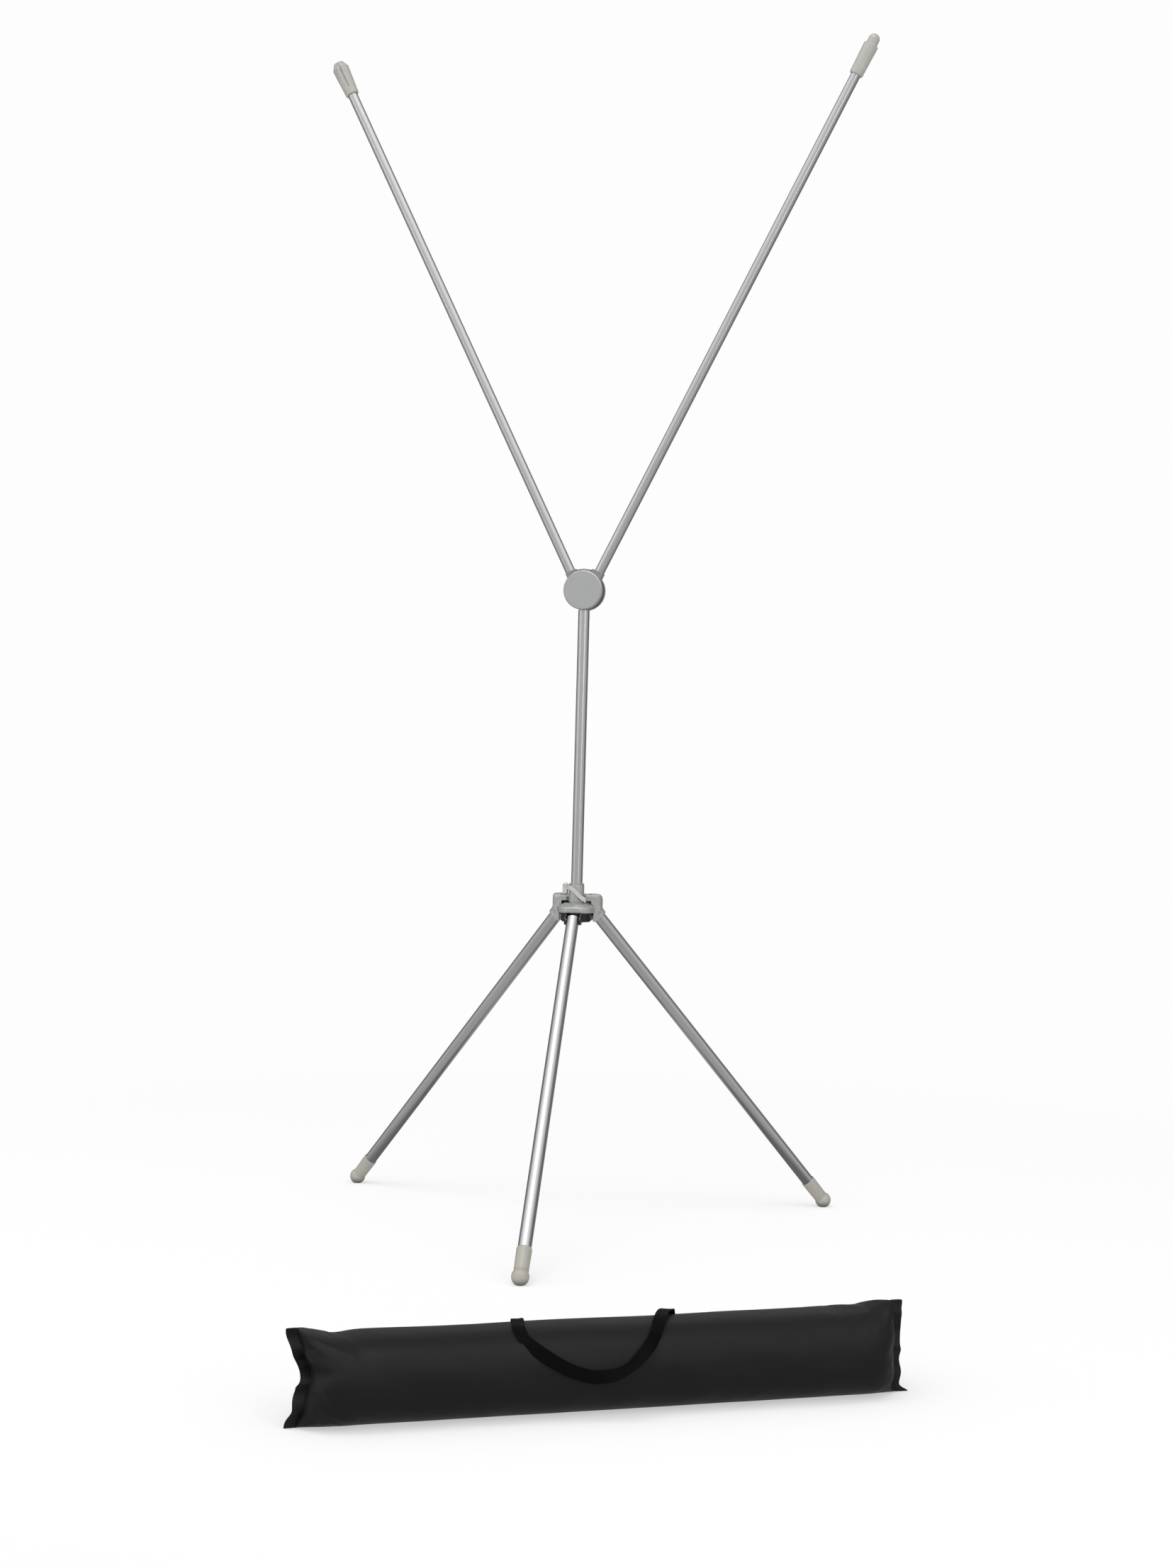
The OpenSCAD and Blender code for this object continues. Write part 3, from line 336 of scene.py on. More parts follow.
# the hoods' top, outer end and sides, where a hood's part of the casting starts, and the three radii
hood_top, hood_end, hood_side = 0.6272, 0.0539, 0.0192
hood_root, hood_foot = 0.026, 0.600
end_radius, side_radius, corner_radius = 0.012, 0.008, 0.009
for turn in (np.radians(30.0), np.radians(150.0)):
    # along the leg's direction, across it, and up
    out = points[:, 0] * np.cos(turn) + points[:, 1] * np.sin(turn)
    over = points[:, 1] * np.cos(turn) - points[:, 0] * np.sin(turn)
    up = points[:, 2]
    hood = (out > hood_root) & (up > hood_foot)
    far, high = rounded_corner(out, up, hood_end, hood_top, end_radius)
    wide, high = rounded_corner(np.abs(over), high, hood_side, hood_top, side_radius)
    far, wide = rounded_corner(far, wide, hood_end, hood_side, corner_radius)
    out, up = np.where(hood, far, out), np.where(hood, high, up)
    over = np.sign(over) * np.where(hood, wide, np.abs(over))
    points[:, 0] = out * np.cos(turn) - over * np.sin(turn)
    points[:, 1] = out * np.sin(turn) + over * np.cos(turn)
    points[:, 2] = up
put_points(head.data, points)
ring = cast_skin("collar_ring", 0.0008, 22)
for piece, node in ((head, "head_casting"), (ring, "collar_ring")):
    piece.data.materials.append(enamel)
    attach(piece, "tripod_head")
    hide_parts(node)

# The clamp's lever is the same enamel in a warmer, paler grey, rubbed smoother where the hand pulls.
handle_enamel, tree, metres = begin("pale_enamel_on_lever")
cloud = add(tree, "TexNoise", None, {"Vector": metres, "Scale": 70.0, "Detail": 3.0})
peel = add(tree, "TexNoise", None, {"Vector": metres, "Scale": 700.0, "Detail": 2.0})
tone = add(tree, "Mix", {"data_type": "RGBA"}, {
    0: cloud.outputs["Fac"], 6: linear("BBBAB3"), 7: linear("C8C7C1")})
sheen = add(tree, "MapRange", None, {"Value": cloud.outputs["Fac"], "To Min": 0.28, "To Max": 0.44})
orange = add(tree, "Bump", None, {"Height": peel.outputs["Fac"], "Strength": 0.04, "Distance": 0.0001})
shader = add(tree, "BsdfPrincipled", None, {
    "Base Color": tone.outputs[2], "Roughness": sheen.outputs[0], "Normal": orange.outputs[0],
    "Metallic": 0.35})
add(tree, "OutputMaterial", None, {"Surface": shader.outputs[0]})
lever = cast_skin("clamp_lever", 0.0005, 10)
points = points_of(lever.data).astype(float)
low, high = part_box("clamp_lever")
# the bar is cranked: from its left end it falls by 3t^2 - 2t^3, not in a straight line
lever_fall = 0.034
t = np.clip((points[:, 0] - low.x) / (high.x - low.x), 0, 1)
points[:, 2] += lever_fall * (t - t * t * (3 - 2 * t))
put_points(lever.data, points)
lever.data.materials.append(handle_enamel)
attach(lever, "clamp_lever")
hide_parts("clamp_lever")

# The cup below the ring is moulded ABS, black and polished, so it mirrors the soft boxes.
gloss_abs, tree, metres = begin("polished_black_abs")
wave = add(tree, "TexNoise", None, {"Vector": metres, "Scale": 90.0, "Detail": 2.0})
dust = add(tree, "TexNoise", None, {"Vector": metres, "Scale": 1100.0, "Detail": 3.0})
tone = add(tree, "Mix", {"data_type": "RGBA"}, {
    0: wave.outputs["Fac"], 6: linear("0B0B0C"), 7: linear("131314")})
polish = add(tree, "MapRange", None, {"Value": dust.outputs["Fac"], "To Min": 0.12, "To Max": 0.30})
sunk = add(tree, "Bump", None, {"Height": wave.outputs["Fac"], "Strength": 0.10, "Distance": 0.001})
shader = add(tree, "BsdfPrincipled", None, {
    "Base Color": tone.outputs[2], "Roughness": polish.outputs[0], "Normal": sunk.outputs[0], "IOR": 1.54})
add(tree, "OutputMaterial", None, {"Surface": shader.outputs[0]})
dress(gloss_abs, "base_drum")

# The split bush round the mast and the pad under the lever are mid-grey acetal, waxy and smooth.
acetal, tree, metres = begin("grey_acetal")
cloud = add(tree, "TexNoise", None, {"Vector": metres, "Scale": 150.0, "Detail": 2.0})
tone = add(tree, "Mix", {"data_type": "RGBA"}, {
    0: cloud.outputs["Fac"], 6: linear("8B8D88"), 7: linear("989A95")})
wax = add(tree, "MapRange", None, {"Value": cloud.outputs["Fac"], "To Min": 0.30, "To Max": 0.45})
shader = add(tree, "BsdfPrincipled", None, {
    "Base Color": tone.outputs[2], "Roughness": wax.outputs[0], "IOR": 1.48})
add(tree, "OutputMaterial", None, {"Surface": shader.outputs[0]})
dress(acetal, "split_bush", "clamp_pad")

# Pins, posts, screws, bolt and rivets are zinc-plated steel, bright with a bluish cast and turned
# or headed, so the plate lies over fine tool marks.
zinc, tree, metres = begin("zinc_plated_steel")
marks = add(tree, "TexNoise", None, {"Vector": metres, "Scale": 1300.0, "Detail": 3.0})
cloud = add(tree, "TexNoise", None, {"Vector": metres, "Scale": 120.0, "Detail": 3.0})
tone = add(tree, "Mix", {"data_type": "RGBA"}, {
    0: cloud.outputs["Fac"], 6: linear("A9ACB0"), 7: linear("C3C6C9")})
bright = add(tree, "MapRange", None, {"Value": marks.outputs["Fac"], "To Min": 0.22, "To Max": 0.40})
cut = add(tree, "Bump", None, {"Height": marks.outputs["Fac"], "Strength": 0.10, "Distance": 0.0001})
shader = add(tree, "BsdfPrincipled", None, {
    "Base Color": tone.outputs[2], "Roughness": bright.outputs[0], "Normal": cut.outputs[0],
    "Metallic": 1.0})
add(tree, "OutputMaterial", None, {"Surface": shader.outputs[0]})
dress(zinc, "base_bolt", "base_washer", "mast_rivets", "pivot_posts", "hub_screws", "arm_right_rivets",
      "arm_left_rivets")
# the pins' heads are sprayed over with the casting and the lever that they hold
dress(enamel, "leg_pivot_pins")
dress(handle_enamel, "lever_pin")

# ---------------------------------------------------------------- hub
# Two discs of aluminium, faced on a lathe, etched and anodised grey. The turning marks are rings round
# the disc's middle, 0.2 mm apart on the real disc, drawn 1.5 mm apart here so that they show.
low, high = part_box("hub_front_plate")
middle = (low + high) / 2
faced, tree, metres = begin("faced_anodised_aluminium")
centred = add(tree, "Mapping", {"vector_type": "TEXTURE"}, {
    "Vector": metres, "Location": (middle.x, 0.0, middle.z)})
rings = add(tree, "TexWave", {"wave_type": "RINGS", "rings_direction": "Y", "wave_profile": "SIN"}, {
    "Vector": centred.outputs[0], "Scale": 210.0, "Distortion": 1.5, "Detail": 3.0, "Detail Scale": 2.0})
cloud = add(tree, "TexNoise", None, {"Vector": metres, "Scale": 42.0, "Detail": 3.0})
tone = add(tree, "Mix", {"data_type": "RGBA"}, {
    0: cloud.outputs["Fac"], 6: linear("C6C7C7"), 7: linear("CDCECE")})
ringed = add(tree, "Mix", {"data_type": "RGBA", "blend_type": "MULTIPLY"}, {
    0: rings.outputs["Fac"], 6: tone.outputs[2], 7: linear("FAFAFA")})
satin = add(tree, "MapRange", None, {"Value": cloud.outputs["Fac"], "To Min": 0.36, "To Max": 0.46})
turned = add(tree, "Bump", None, {"Height": rings.outputs["Fac"], "Strength": 0.015, "Distance": 0.0001})
shader = add(tree, "BsdfPrincipled", None, {
    "Base Color": ringed.outputs[2], "Roughness": satin.outputs[0], "Normal": turned.outputs[0],
    "Metallic": 1.0})
add(tree, "OutputMaterial", None, {"Surface": shader.outputs[0]})
dress(faced, "hub_front_plate", "hub_rear_plate")

# Friction washers between the knuckles and the discs: off-white nylon, waxy.
washer_nylon, tree, metres = begin("natural_nylon_washer")
cloud = add(tree, "TexNoise", None, {"Vector": metres, "Scale": 260.0, "Detail": 2.0})
tone = add(tree, "Mix", {"data_type": "RGBA"}, {
    0: cloud.outputs["Fac"], 6: linear("CFCCC2"), 7: linear("DAD7CE")})
wax = add(tree, "MapRange", None, {"Value": cloud.outputs["Fac"], "To Min": 0.35, "To Max": 0.50})
shader = add(tree, "BsdfPrincipled", None, {
    "Base Color": tone.outputs[2], "Roughness": wax.outputs[0], "IOR": 1.53})
add(tree, "OutputMaterial", None, {"Surface": shader.outputs[0]})
dress(washer_nylon, "friction_washers")

# The knuckles that carry the arms, and the core between the discs, are zinc castings, tumbled and
# left bare: a dull green-grey.
bare_zinc, tree, metres = begin("tumbled_zinc_casting")
cloud = add(tree, "TexNoise", None, {"Vector": metres, "Scale": 90.0, "Detail": 3.0})
pits = add(tree, "TexNoise", None, {"Vector": metres, "Scale": 900.0, "Detail": 3.0})
tone = add(tree, "Mix", {"data_type": "RGBA"}, {
    0: cloud.outputs["Fac"], 6: linear("92948D"), 7: linear("A0A29B")})
dull = add(tree, "MapRange", None, {"Value": pits.outputs["Fac"], "To Min": 0.36, "To Max": 0.50})
tumbled = add(tree, "Bump", None, {"Height": pits.outputs["Fac"], "Strength": 0.08, "Distance": 0.0001})
shader = add(tree, "BsdfPrincipled", None, {
    "Base Color": tone.outputs[2], "Roughness": dull.outputs[0], "Normal": tumbled.outputs[0],
    "Metallic": 0.8})
add(tree, "OutputMaterial", None, {"Surface": shader.outputs[0]})
dress(bare_zinc, "arm_right_knuckle", "arm_left_knuckle", "hub_core")

# Sleeves at the arms' telescopic joints: the same drawn aluminium, polished on a buff.
buffed, tree, metres = begin("buffed_aluminium_sleeve")
swirl = add(tree, "TexNoise", None, {"Vector": metres, "Scale": 500.0, "Detail": 3.0})
cloud = add(tree, "TexNoise", None, {"Vector": metres, "Scale": 60.0, "Detail": 2.0})
tone = add(tree, "Mix", {"data_type": "RGBA"}, {
    0: cloud.outputs["Fac"], 6: linear("B4B6B8"), 7: linear("C6C8CA")})
bright = add(tree, "MapRange", None, {"Value": swirl.outputs["Fac"], "To Min": 0.20, "To Max": 0.32})
shader = add(tree, "BsdfPrincipled", None, {
    "Base Color": tone.outputs[2], "Roughness": bright.outputs[0], "Metallic": 1.0})
add(tree, "OutputMaterial", None, {"Surface": shader.outputs[0]})
dress(buffed, "arm_right_ferrule", "arm_left_ferrule")

# ---------------------------------------------------------------- arm ends
# The finger and the clip are caps of the same warm grey as the feet, but injection-moulded in rigid
# PVC: harder, glossier, with faint flow marks along them.
rigid, tree, metres = begin("moulded_grey_rigid_pvc")
flow = add(tree, "TexNoise", None, {"Vector": metres, "Scale": 60.0, "Detail": 3.0})
skin = add(tree, "TexNoise", None, {"Vector": metres, "Scale": 160.0, "Detail": 2.0})
tone = add(tree, "Mix", {"data_type": "RGBA"}, {
    0: flow.outputs["Fac"], 6: linear("9C9A94"), 7: linear("ABA9A3")})
gloss = add(tree, "MapRange", None, {"Value": skin.outputs["Fac"], "To Min": 0.18, "To Max": 0.26})
soft = add(tree, "Bump", None, {"Height": flow.outputs["Fac"], "Strength": 0.10, "Distance": 0.0008})
shader = add(tree, "BsdfPrincipled", None, {
    "Base Color": tone.outputs[2], "Roughness": gloss.outputs[0], "Normal": soft.outputs[0], "IOR": 1.54})
add(tree, "OutputMaterial", None, {"Surface": shader.outputs[0]})
dress(rigid, "arm_right_peg", "arm_left_clip")

# ---------------------------------------------------------------- carry bag
# A long, filled bag of black 420-denier nylon, sewn from one panel. Each end is closed by a flat hem,
# folded twice and stitched, that stands upright and buckles where the cloth is slack.
low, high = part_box("bag_body")
bag_middle = (low + high) / 2
bag_turn = np.radians(30.0)
bag_tall, bag_deep = 0.1148, 0.145
hem_wide, hem_thick, hem_tall, hem_back = 0.015, 0.0024, 0.1312, -0.022
left_reach, right_reach = 0.4455, 0.4285
# how far the lowest cloth lies above the floor, and how far in from a hem's edge its seam runs
floor_gap, seam_in = 0.0006, 0.0038


def on_floor(along, across, up):
    """The bag's own axes turned by its angle about its middle: x and y rotate, z stays the height."""
    x = bag_middle.x + along * np.cos(bag_turn) - across * np.sin(bag_turn)
    y = bag_middle.y + along * np.sin(bag_turn) + across * np.cos(bag_turn)
    return np.stack([x, y, np.broadcast_to(up, x.shape)], axis=-1)


def grid_faces(rows, columns, first=0):
    """Quads between neighbours of a grid of rows by columns that is joined round its columns."""
    r = np.arange(rows - 1)[:, None]
    c = np.arange(columns)[None, :]
    after = (c + 1) % columns
    return first + np.stack([r * columns + c, r * columns + after, (r + 1) * columns + after,
                             (r + 1) * columns + c], axis=-1).reshape(-1, 4)


def closed_faces(rows, columns, first=0):
    """Such a grid's quads, and those that close its two flat end rows, where point j is joined to
    point columns / 2 - 1 - j."""
    j = np.arange(-columns // 4, columns // 4 - 1)
    lid = np.stack([j, j + 1, columns // 2 - j - 2, columns // 2 - j - 1], axis=-1) % columns
    return np.concatenate([grid_faces(rows, columns, first), first + lid,
                           first + (rows - 1) * columns + lid[:, ::-1]])


def sewn(name, points, faces, flat=None):
    """A smooth mesh object from its points and quads, facing outward. If the points' places on the flat
    cloth are given, in metres, they become the uv layer cloth."""
    mesh = bpy.data.meshes.new(name)
    mesh.from_pydata(points.tolist(), [], faces.tolist())
    mesh.polygons.foreach_set("use_smooth", np.ones(len(mesh.polygons), bool))
    if flat is not None:
        corner = np.empty(len(mesh.loops), np.int32)
        mesh.loops.foreach_get("vertex_index", corner)
        mesh.uv_layers.new(name="cloth").data.foreach_set("uv", flat[corner].astype(np.float32).ravel())
    shell = bmesh.new()
    shell.from_mesh(mesh)
    bmesh.ops.recalc_face_normals(shell, faces=shell.faces)
    shell.to_mesh(mesh)
    shell.free()
    made = bpy.data.objects.new(name, mesh)
    bpy.context.scene.collection.objects.link(made)
    return made


def bump_at(value, centre, wide):
    """A bell: exp(-((value - centre) / wide)^2)."""
    return np.exp(-(((value - centre) / wide) ** 2))


def with_bells(start, value, bells):
    """The start plus, for each row of size, centre and width, that size times its bell."""
    for size, centre, wide in bells:
        start = start + size * bump_at(value, centre, wide)
    return start


def hem_line(side, up):
    """How an end's outer edge runs up the bag: its place along the bag and across it at each height.
    The left end is pinched in by bells, and the right end waves gently and ends in a pulled-out ear."""
    z = up / hem_tall
    if side < 0:
        inward = with_bells(0.0, z, ((0.0195, 0.56, 0.17), (0.0075, 0.33, 0.14), (0.005, 0.80, 0.12),
                                     (0.0065, 0.17, 0.09), (-0.002, 0.43, 0.03)))
        across = with_bells(hem_back, z, ((0.012, 0.64, 0.10), (-0.011, 0.47, 0.09),
                                          (-0.009, 0.24, 0.12), (0.006, 0.90, 0.08)))
        return -left_reach + inward, across
    outward = with_bells(0.0, z, ((0.0150, 0.0, 0.05), (0.004, 0.24, 0.10), (0.0035, 0.66, 0.09),
                                  (-0.003, 0.52, 0.06), (0.002, 0.96, 0.05)))
    across = with_bells(hem_back, z, ((0.006, 0.66, 0.09), (-0.007, 0.50, 0.07), (0.005, 0.28, 0.09),
                                      (-0.004, 0.86, 0.06)))
    return right_reach + outward, across


def crease(along, up, start, end, wide, deep):
    """A fold from start to end, in the plane of the front. Across it runs a bell, which widens with t
    from the start to the end, as its depth dies out by (1 - t)^0.8."""
    run = np.subtract(end, start)
    span = np.hypot(*run)
    t = ((along - start[0]) * run[0] + (up - start[1]) * run[1]) / span**2
    off = ((along - start[0]) * run[1] - (up - start[1]) * run[0]) / span
    fade = np.clip(1 - t, 0, 1) ** 0.8 * np.clip(1 + t * 4, 0, 1)
    return deep * fade * np.exp(-((off / (wide * (0.5 + np.clip(t, 0, 1)))) ** 2))


# each fold's start and end in metres along and up the bag, its width, and how far it stands out of the
# cloth, or into it where that is negative
folds = (
    ((-0.432, 0.127), (-0.345, 0.094), 0.0050, 0.0065),
    ((-0.430, 0.112), (-0.372, 0.083), 0.0075, -0.0085),
    ((-0.424, 0.129), (-0.330, 0.112), 0.0050, 0.0040),
    ((-0.420, 0.070), (-0.372, 0.084), 0.0065, -0.0060),
    ((-0.412, 0.062), (-0.392, 0.028), 0.0060, 0.0040),
    ((-0.438, 0.006), (-0.350, 0.012), 0.0050, 0.0035),
    ((0.418, 0.128), (0.345, 0.098), 0.0060, 0.0022),
    ((0.414, 0.068), (0.378, 0.058), 0.0060, -0.0030),
    ((0.414, 0.040), (0.360, 0.060), 0.0070, 0.0020),
    ((0.432, 0.004), (0.360, 0.020), 0.0060, 0.0030),
)


def sack_shape(stations, turns):
    """The sack as a loft. Round the section, a superellipse of the bag's height and depth. Towards an
    end the depth falls as the root of 1 - q^2.6 to the hem's thickness, the height grows to the hem's,
    and the place along the bag follows the hem's edge by q^2. Folds run in from both ends."""
    s = np.linspace(-1, 1, stations)[:, None] * np.ones(turns)[None, :]
    s = 0.62 * s + 0.38 * np.sin(s * np.pi / 2)
    reach = np.where(s < 0, left_reach - hem_wide, right_reach - hem_wide)
    along = s * reach
    angle = (np.arange(turns) / turns * 2 * np.pi)[None, :] * np.ones(stations)[:, None]
    c, w = np.cos(angle), np.sin(angle)
    blunt = np.where(s < 0, 0.075, 0.055)
    q = np.clip((np.abs(along) - (reach - blunt)) / blunt, 0, 1)
    swell = np.sqrt(np.clip(1 - q**2.6, 0, 1))
    deep = hem_thick / 2 - 0.0004 + (bag_deep / 2 - hem_thick / 2) * swell
    middle_tall = bag_tall / 2 + 0.0022 * np.clip((along - 0.22) / 0.19, 0, 1) ** 1.5
    tall = middle_tall + ((hem_tall - 0.001) / 2 - middle_tall) * q**3
    tall = tall - 0.0003 * np.sin(along * 23) * (1 - q) - 0.0009 * bump_at(along, -0.365, 0.022)
    up = tall + tall * np.sign(w) * np.abs(w) ** 0.80
    across = deep * np.sign(c) * np.abs(c) ** 0.74
    left_u, left_v = hem_line(-1, up)
    right_u, right_v = hem_line(1, up)
    edge_u = np.where(s < 0, left_u + hem_wide, right_u - hem_wide)
    edge_v = np.where(s < 0, left_v, right_v)
    along = along + q**2 * (edge_u - np.sign(s) * reach)
    across = across + (1 - swell) * edge_v
    # the front and the back are cut alike, so the same folds stand on both, shallower behind
    front = np.clip(-c * 3, 0, 1) + 0.6 * np.clip(c * 3, 0, 1)
    held = np.clip((1 - q) * 12, 0, 1)
    raised = sum(crease(along, up, *fold) for fold in folds)
    across = across + np.sign(c) * front * held * raised
    # slack cloth between the ends: broad, shallow hollows a hand's width long
    ripple = 0.0011 * np.sin(along * 31 + 5 * up / bag_tall) * np.sin(up * 38 + along * 9)
    ripple = ripple + 0.0008 * np.sin(along * 67 - 40 * up + 1.3) * bump_at(up, 0.030, 0.030)
    across = across + np.sign(c) * np.abs(c) * ripple * (1 - q)
    return along, across, np.maximum(up, floor_gap)


stations, turns = 184, 92
along, across, up = sack_shape(stations, turns)
sack_points = on_floor(along, across, up).reshape(-1, 3)
sack_faces = closed_faces(stations, turns)
# the cloth is cut 3 % too large and filled with light pressure, with its hems and underside held,
# so it buckles. What is kept is the buckling: the broad swelling is taken out by a moving mean
too_large, last_step, most_buckled = 0.03, 20, 0.004
trial_mesh = bpy.data.meshes.new("trial")
trial_mesh.from_pydata(sack_points.tolist(), [], sack_faces.tolist())
trial = bpy.data.objects.new("trial", trial_mesh)
bpy.context.scene.collection.objects.link(trial)
held = trial.vertex_groups.new(name="held")
edge = np.zeros((stations, turns))
edge[:3] = edge[-3:] = 1.0
edge[up < 0.004] = 1.0
held.add(np.flatnonzero(edge.ravel() > 0.5).tolist(), 1.0, "REPLACE")
cloth = trial.modifiers.new("cloth", "CLOTH")
cloth.settings.vertex_group_mass = "held"
cloth.settings.quality = 6
cloth.settings.mass = 0.2
cloth.settings.tension_stiffness = 12.0
cloth.settings.compression_stiffness = 12.0
cloth.settings.shear_stiffness = 4.0
cloth.settings.bending_stiffness = 0.25
cloth.settings.shrink_min = -too_large
cloth.settings.shrink_max = -too_large
cloth.settings.use_pressure = True
cloth.settings.uniform_pressure_force = 2.5
cloth.settings.effector_weights.gravity = 0.0
cloth.collision_settings.use_collision = False
cloth.point_cache.frame_start = 1
cloth.point_cache.frame_end = last_step
for step in range(1, last_step + 1):
    bpy.context.scene.frame_set(step)
settled = trial.evaluated_get(bpy.context.evaluated_depsgraph_get()).data
moved = (points_of(settled) - sack_points).reshape(stations, turns, 3)
bpy.data.objects.remove(trial)
bpy.data.meshes.remove(trial_mesh)
bpy.context.scene.frame_set(1)
slack = (0.10 + 0.45 * np.clip((np.abs(along) - 0.33) / 0.09, 0, 1))[..., None]
broad = moved
for _ in range(3):
    padded = np.pad(broad, ((7, 7), (0, 0), (0, 0)), mode="edge")
    broad = sum(padded[i : i + stations] for i in range(15)) / 15
    broad = sum(np.roll(broad, i, axis=1) for i in range(-5, 6)) / 11
buckled = moved - broad
length = np.linalg.norm(buckled, axis=-1, keepdims=True)
buckled = buckled * np.minimum(1, most_buckled / np.maximum(length, 1e-9)) * (1 - edge[..., None]) * slack
sack_points = (sack_points.reshape(stations, turns, 3) + buckled).reshape(-1, 3)
sack_points[:, 2] = np.maximum(sack_points[:, 2], floor_gap)


def hem_roll(up, part):
    """How far a hem's face leans across the bag: one sine of the height by the part of the way in from
    the edge, and a shorter one by the rest of it."""
    return 0.0016 * np.sin(up * 96 + 0.7) * part + 0.0012 * np.sin(up * 171) * (1 - part)


def hem_band(side):
    """A flat band on an end's edge line. Round it runs a superellipse of the band's width and
    thickness, lowered by a bell at the stitch line; up it, the edge line's place."""
    rows, columns = 120, 32
    up = np.linspace(0.0, hem_tall, rows)[:, None] * np.ones(columns)[None, :]
    angle = (np.arange(columns) / columns * 2 * np.pi + np.pi / 2)[None, :] * np.ones(rows)[:, None]
    c, w = np.cos(angle), np.sin(angle)
    edge_u, edge_v = hem_line(side, up)
    inner = hem_wide * (1.12 if side < 0 else 1.15)
    place = (1 + np.sign(w) * np.abs(w) ** 0.6) / 2 * inner
    thick = np.sign(c) * np.abs(c) ** 0.35 * hem_thick / 2
    thick = thick * (1 - 0.5 * bump_at(place, seam_in, 0.0010)) * (1 + 0.25 * bump_at(place, inner, 0.003))
    # slack between the stitches puckers the band a little
    pucker = 0.00035 * np.sin(up * 1900) * bump_at(place, seam_in, 0.003)
    round_off = np.sqrt(np.clip(1 - (2 * up / hem_tall - 1) ** 40, 0, 1))
    along = edge_u - side * place
    across = edge_v + (thick * round_off) + pucker * np.sign(c) + hem_roll(up, place / inner)
    return on_floor(along, across, np.maximum(up, floor_gap)), rows, columns


# a point's place on the flat cloth: along the bag, and the way round it from the first point
bag_points, bag_faces = [sack_points], [sack_faces]
steps = np.hypot(np.diff(across, axis=1, append=across[:, :1]), np.diff(up, axis=1, append=up[:, :1]))
bag_flat = [np.stack([along, np.cumsum(steps, axis=1)], axis=-1).reshape(-1, 2)]
for side in (-1, 1):
    band, rows, columns = hem_band(side)
    bag_faces.append(closed_faces(rows, columns, sum(len(p) for p in bag_points)))
    bag_points.append(band.reshape(-1, 3))
    round_hem, up_hem = np.linspace(0, 0.03, columns), np.linspace(0, hem_tall, rows)
    bag_flat.append(np.stack(np.meshgrid(round_hem, up_hem), axis=-1).reshape(-1, 2))
sack = sewn("bag_sack", np.concatenate(bag_points), np.concatenate(bag_faces), np.concatenate(bag_flat))
finer = sack.modifiers.new("finer", "SUBSURF")
finer.levels = finer.render_levels = 1

# 420-denier nylon in a plain weave, dyed black and calendered: a dull sheen that turns silvery on
# facets towards the light. Threads lie 0.5 mm apart, drawn 1.6 mm apart so that they show up close
cloth_look, tree, metres = begin("black_nylon_weave")
laid = add(tree, "UVMap", {"uv_map": "cloth"})
warp = add(tree, "TexWave", {"wave_type": "BANDS", "bands_direction": "X"}, {
    "Vector": laid.outputs[0], "Scale": 196.0, "Distortion": 0.6, "Detail": 1.0, "Detail Scale": 30.0})
weft = add(tree, "TexWave", {"wave_type": "BANDS", "bands_direction": "Y"}, {
    "Vector": laid.outputs[0], "Scale": 196.0, "Distortion": 0.6, "Detail": 1.0, "Detail Scale": 30.0})
weave = add(tree, "Math", {"operation": "MAXIMUM"}, {0: warp.outputs["Fac"], 1: weft.outputs["Fac"]})
cloud = add(tree, "TexNoise", None, {"Vector": metres, "Scale": 24.0, "Detail": 3.0, "Roughness": 0.6})
rumple = add(tree, "TexNoise", None, {"Vector": metres, "Scale": 70.0, "Detail": 3.0})
tone = add(tree, "Mix", {"data_type": "RGBA"}, {
    0: cloud.outputs["Fac"], 6: linear("0E0E0F"), 7: linear("141415")})
threads = add(tree, "Mix", {"data_type": "RGBA", "blend_type": "MULTIPLY"}, {
    0: weave.outputs[0], 6: tone.outputs[2], 7: linear("E6E6E8")})
gloss = add(tree, "MapRange", None, {"Value": cloud.outputs["Fac"], "To Min": 0.50, "To Max": 0.62})
soft = add(tree, "Bump", None, {"Height": rumple.outputs["Fac"], "Strength": 0.10, "Distance": 0.0015})
woven = add(tree, "Bump", None, {
    "Height": weave.outputs[0], "Strength": 0.12, "Distance": 0.0002, "Normal": soft.outputs[0]})
shader = add(tree, "BsdfPrincipled", None, {
    "Base Color": threads.outputs[2], "Roughness": gloss.outputs[0], "Normal": woven.outputs[0],
    "IOR": 1.53, "Specular IOR Level": 0.22, "Sheen Weight": 0.02, "Sheen Roughness": 0.35})
add(tree, "OutputMaterial", None, {"Surface": shader.outputs[0]})
sack.data.materials.append(cloth_look)
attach(sack, "carry_bag")
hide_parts("bag_body")

# The carrying strap: 17.5 mm polypropylene webbing, sewn flat behind the top edge at both ends. It hangs
# over the front in a loop that twists nearly edge-on where it turns up again.
strap_wide, strap_thick = 0.0175, 0.0015
# along, across and height in mm, and how far the webbing is twisted from facing forward, in degrees
strap_keys = np.array([
    (-112.0, 58.0, 99.0, 0), (-115.0, 47.0, 110.0, 0), (-119.0, 28.0, 116.2, 0), (-125.0, 4.0, 117.2, 0),
    (-131.0, -24.0, 117.0, 0), (-129.0, -53.0, 106.0, 0), (-107.5, -70.5, 90.4, 4),
    (-76.6, -76.5, 72.0, 8), (-45.3, -78.0, 61.3, 14), (-21.5, -79.0, 60.9, 28),
    (-5.6, -80.5, 64.7, 52), (12.7, -80.0, 74.6, 62), (27.9, -76.5, 87.8, 42),
    (46.1, -62.0, 103.2, 14), (68.3, -22.0, 119.5, 0), (86.0, 14.0, 121.0, 0),
    (99.0, 34.0, 118.5, 0), (108.0, 50.0, 109.0, 0), (112.0, 60.0, 95.0, 0)])


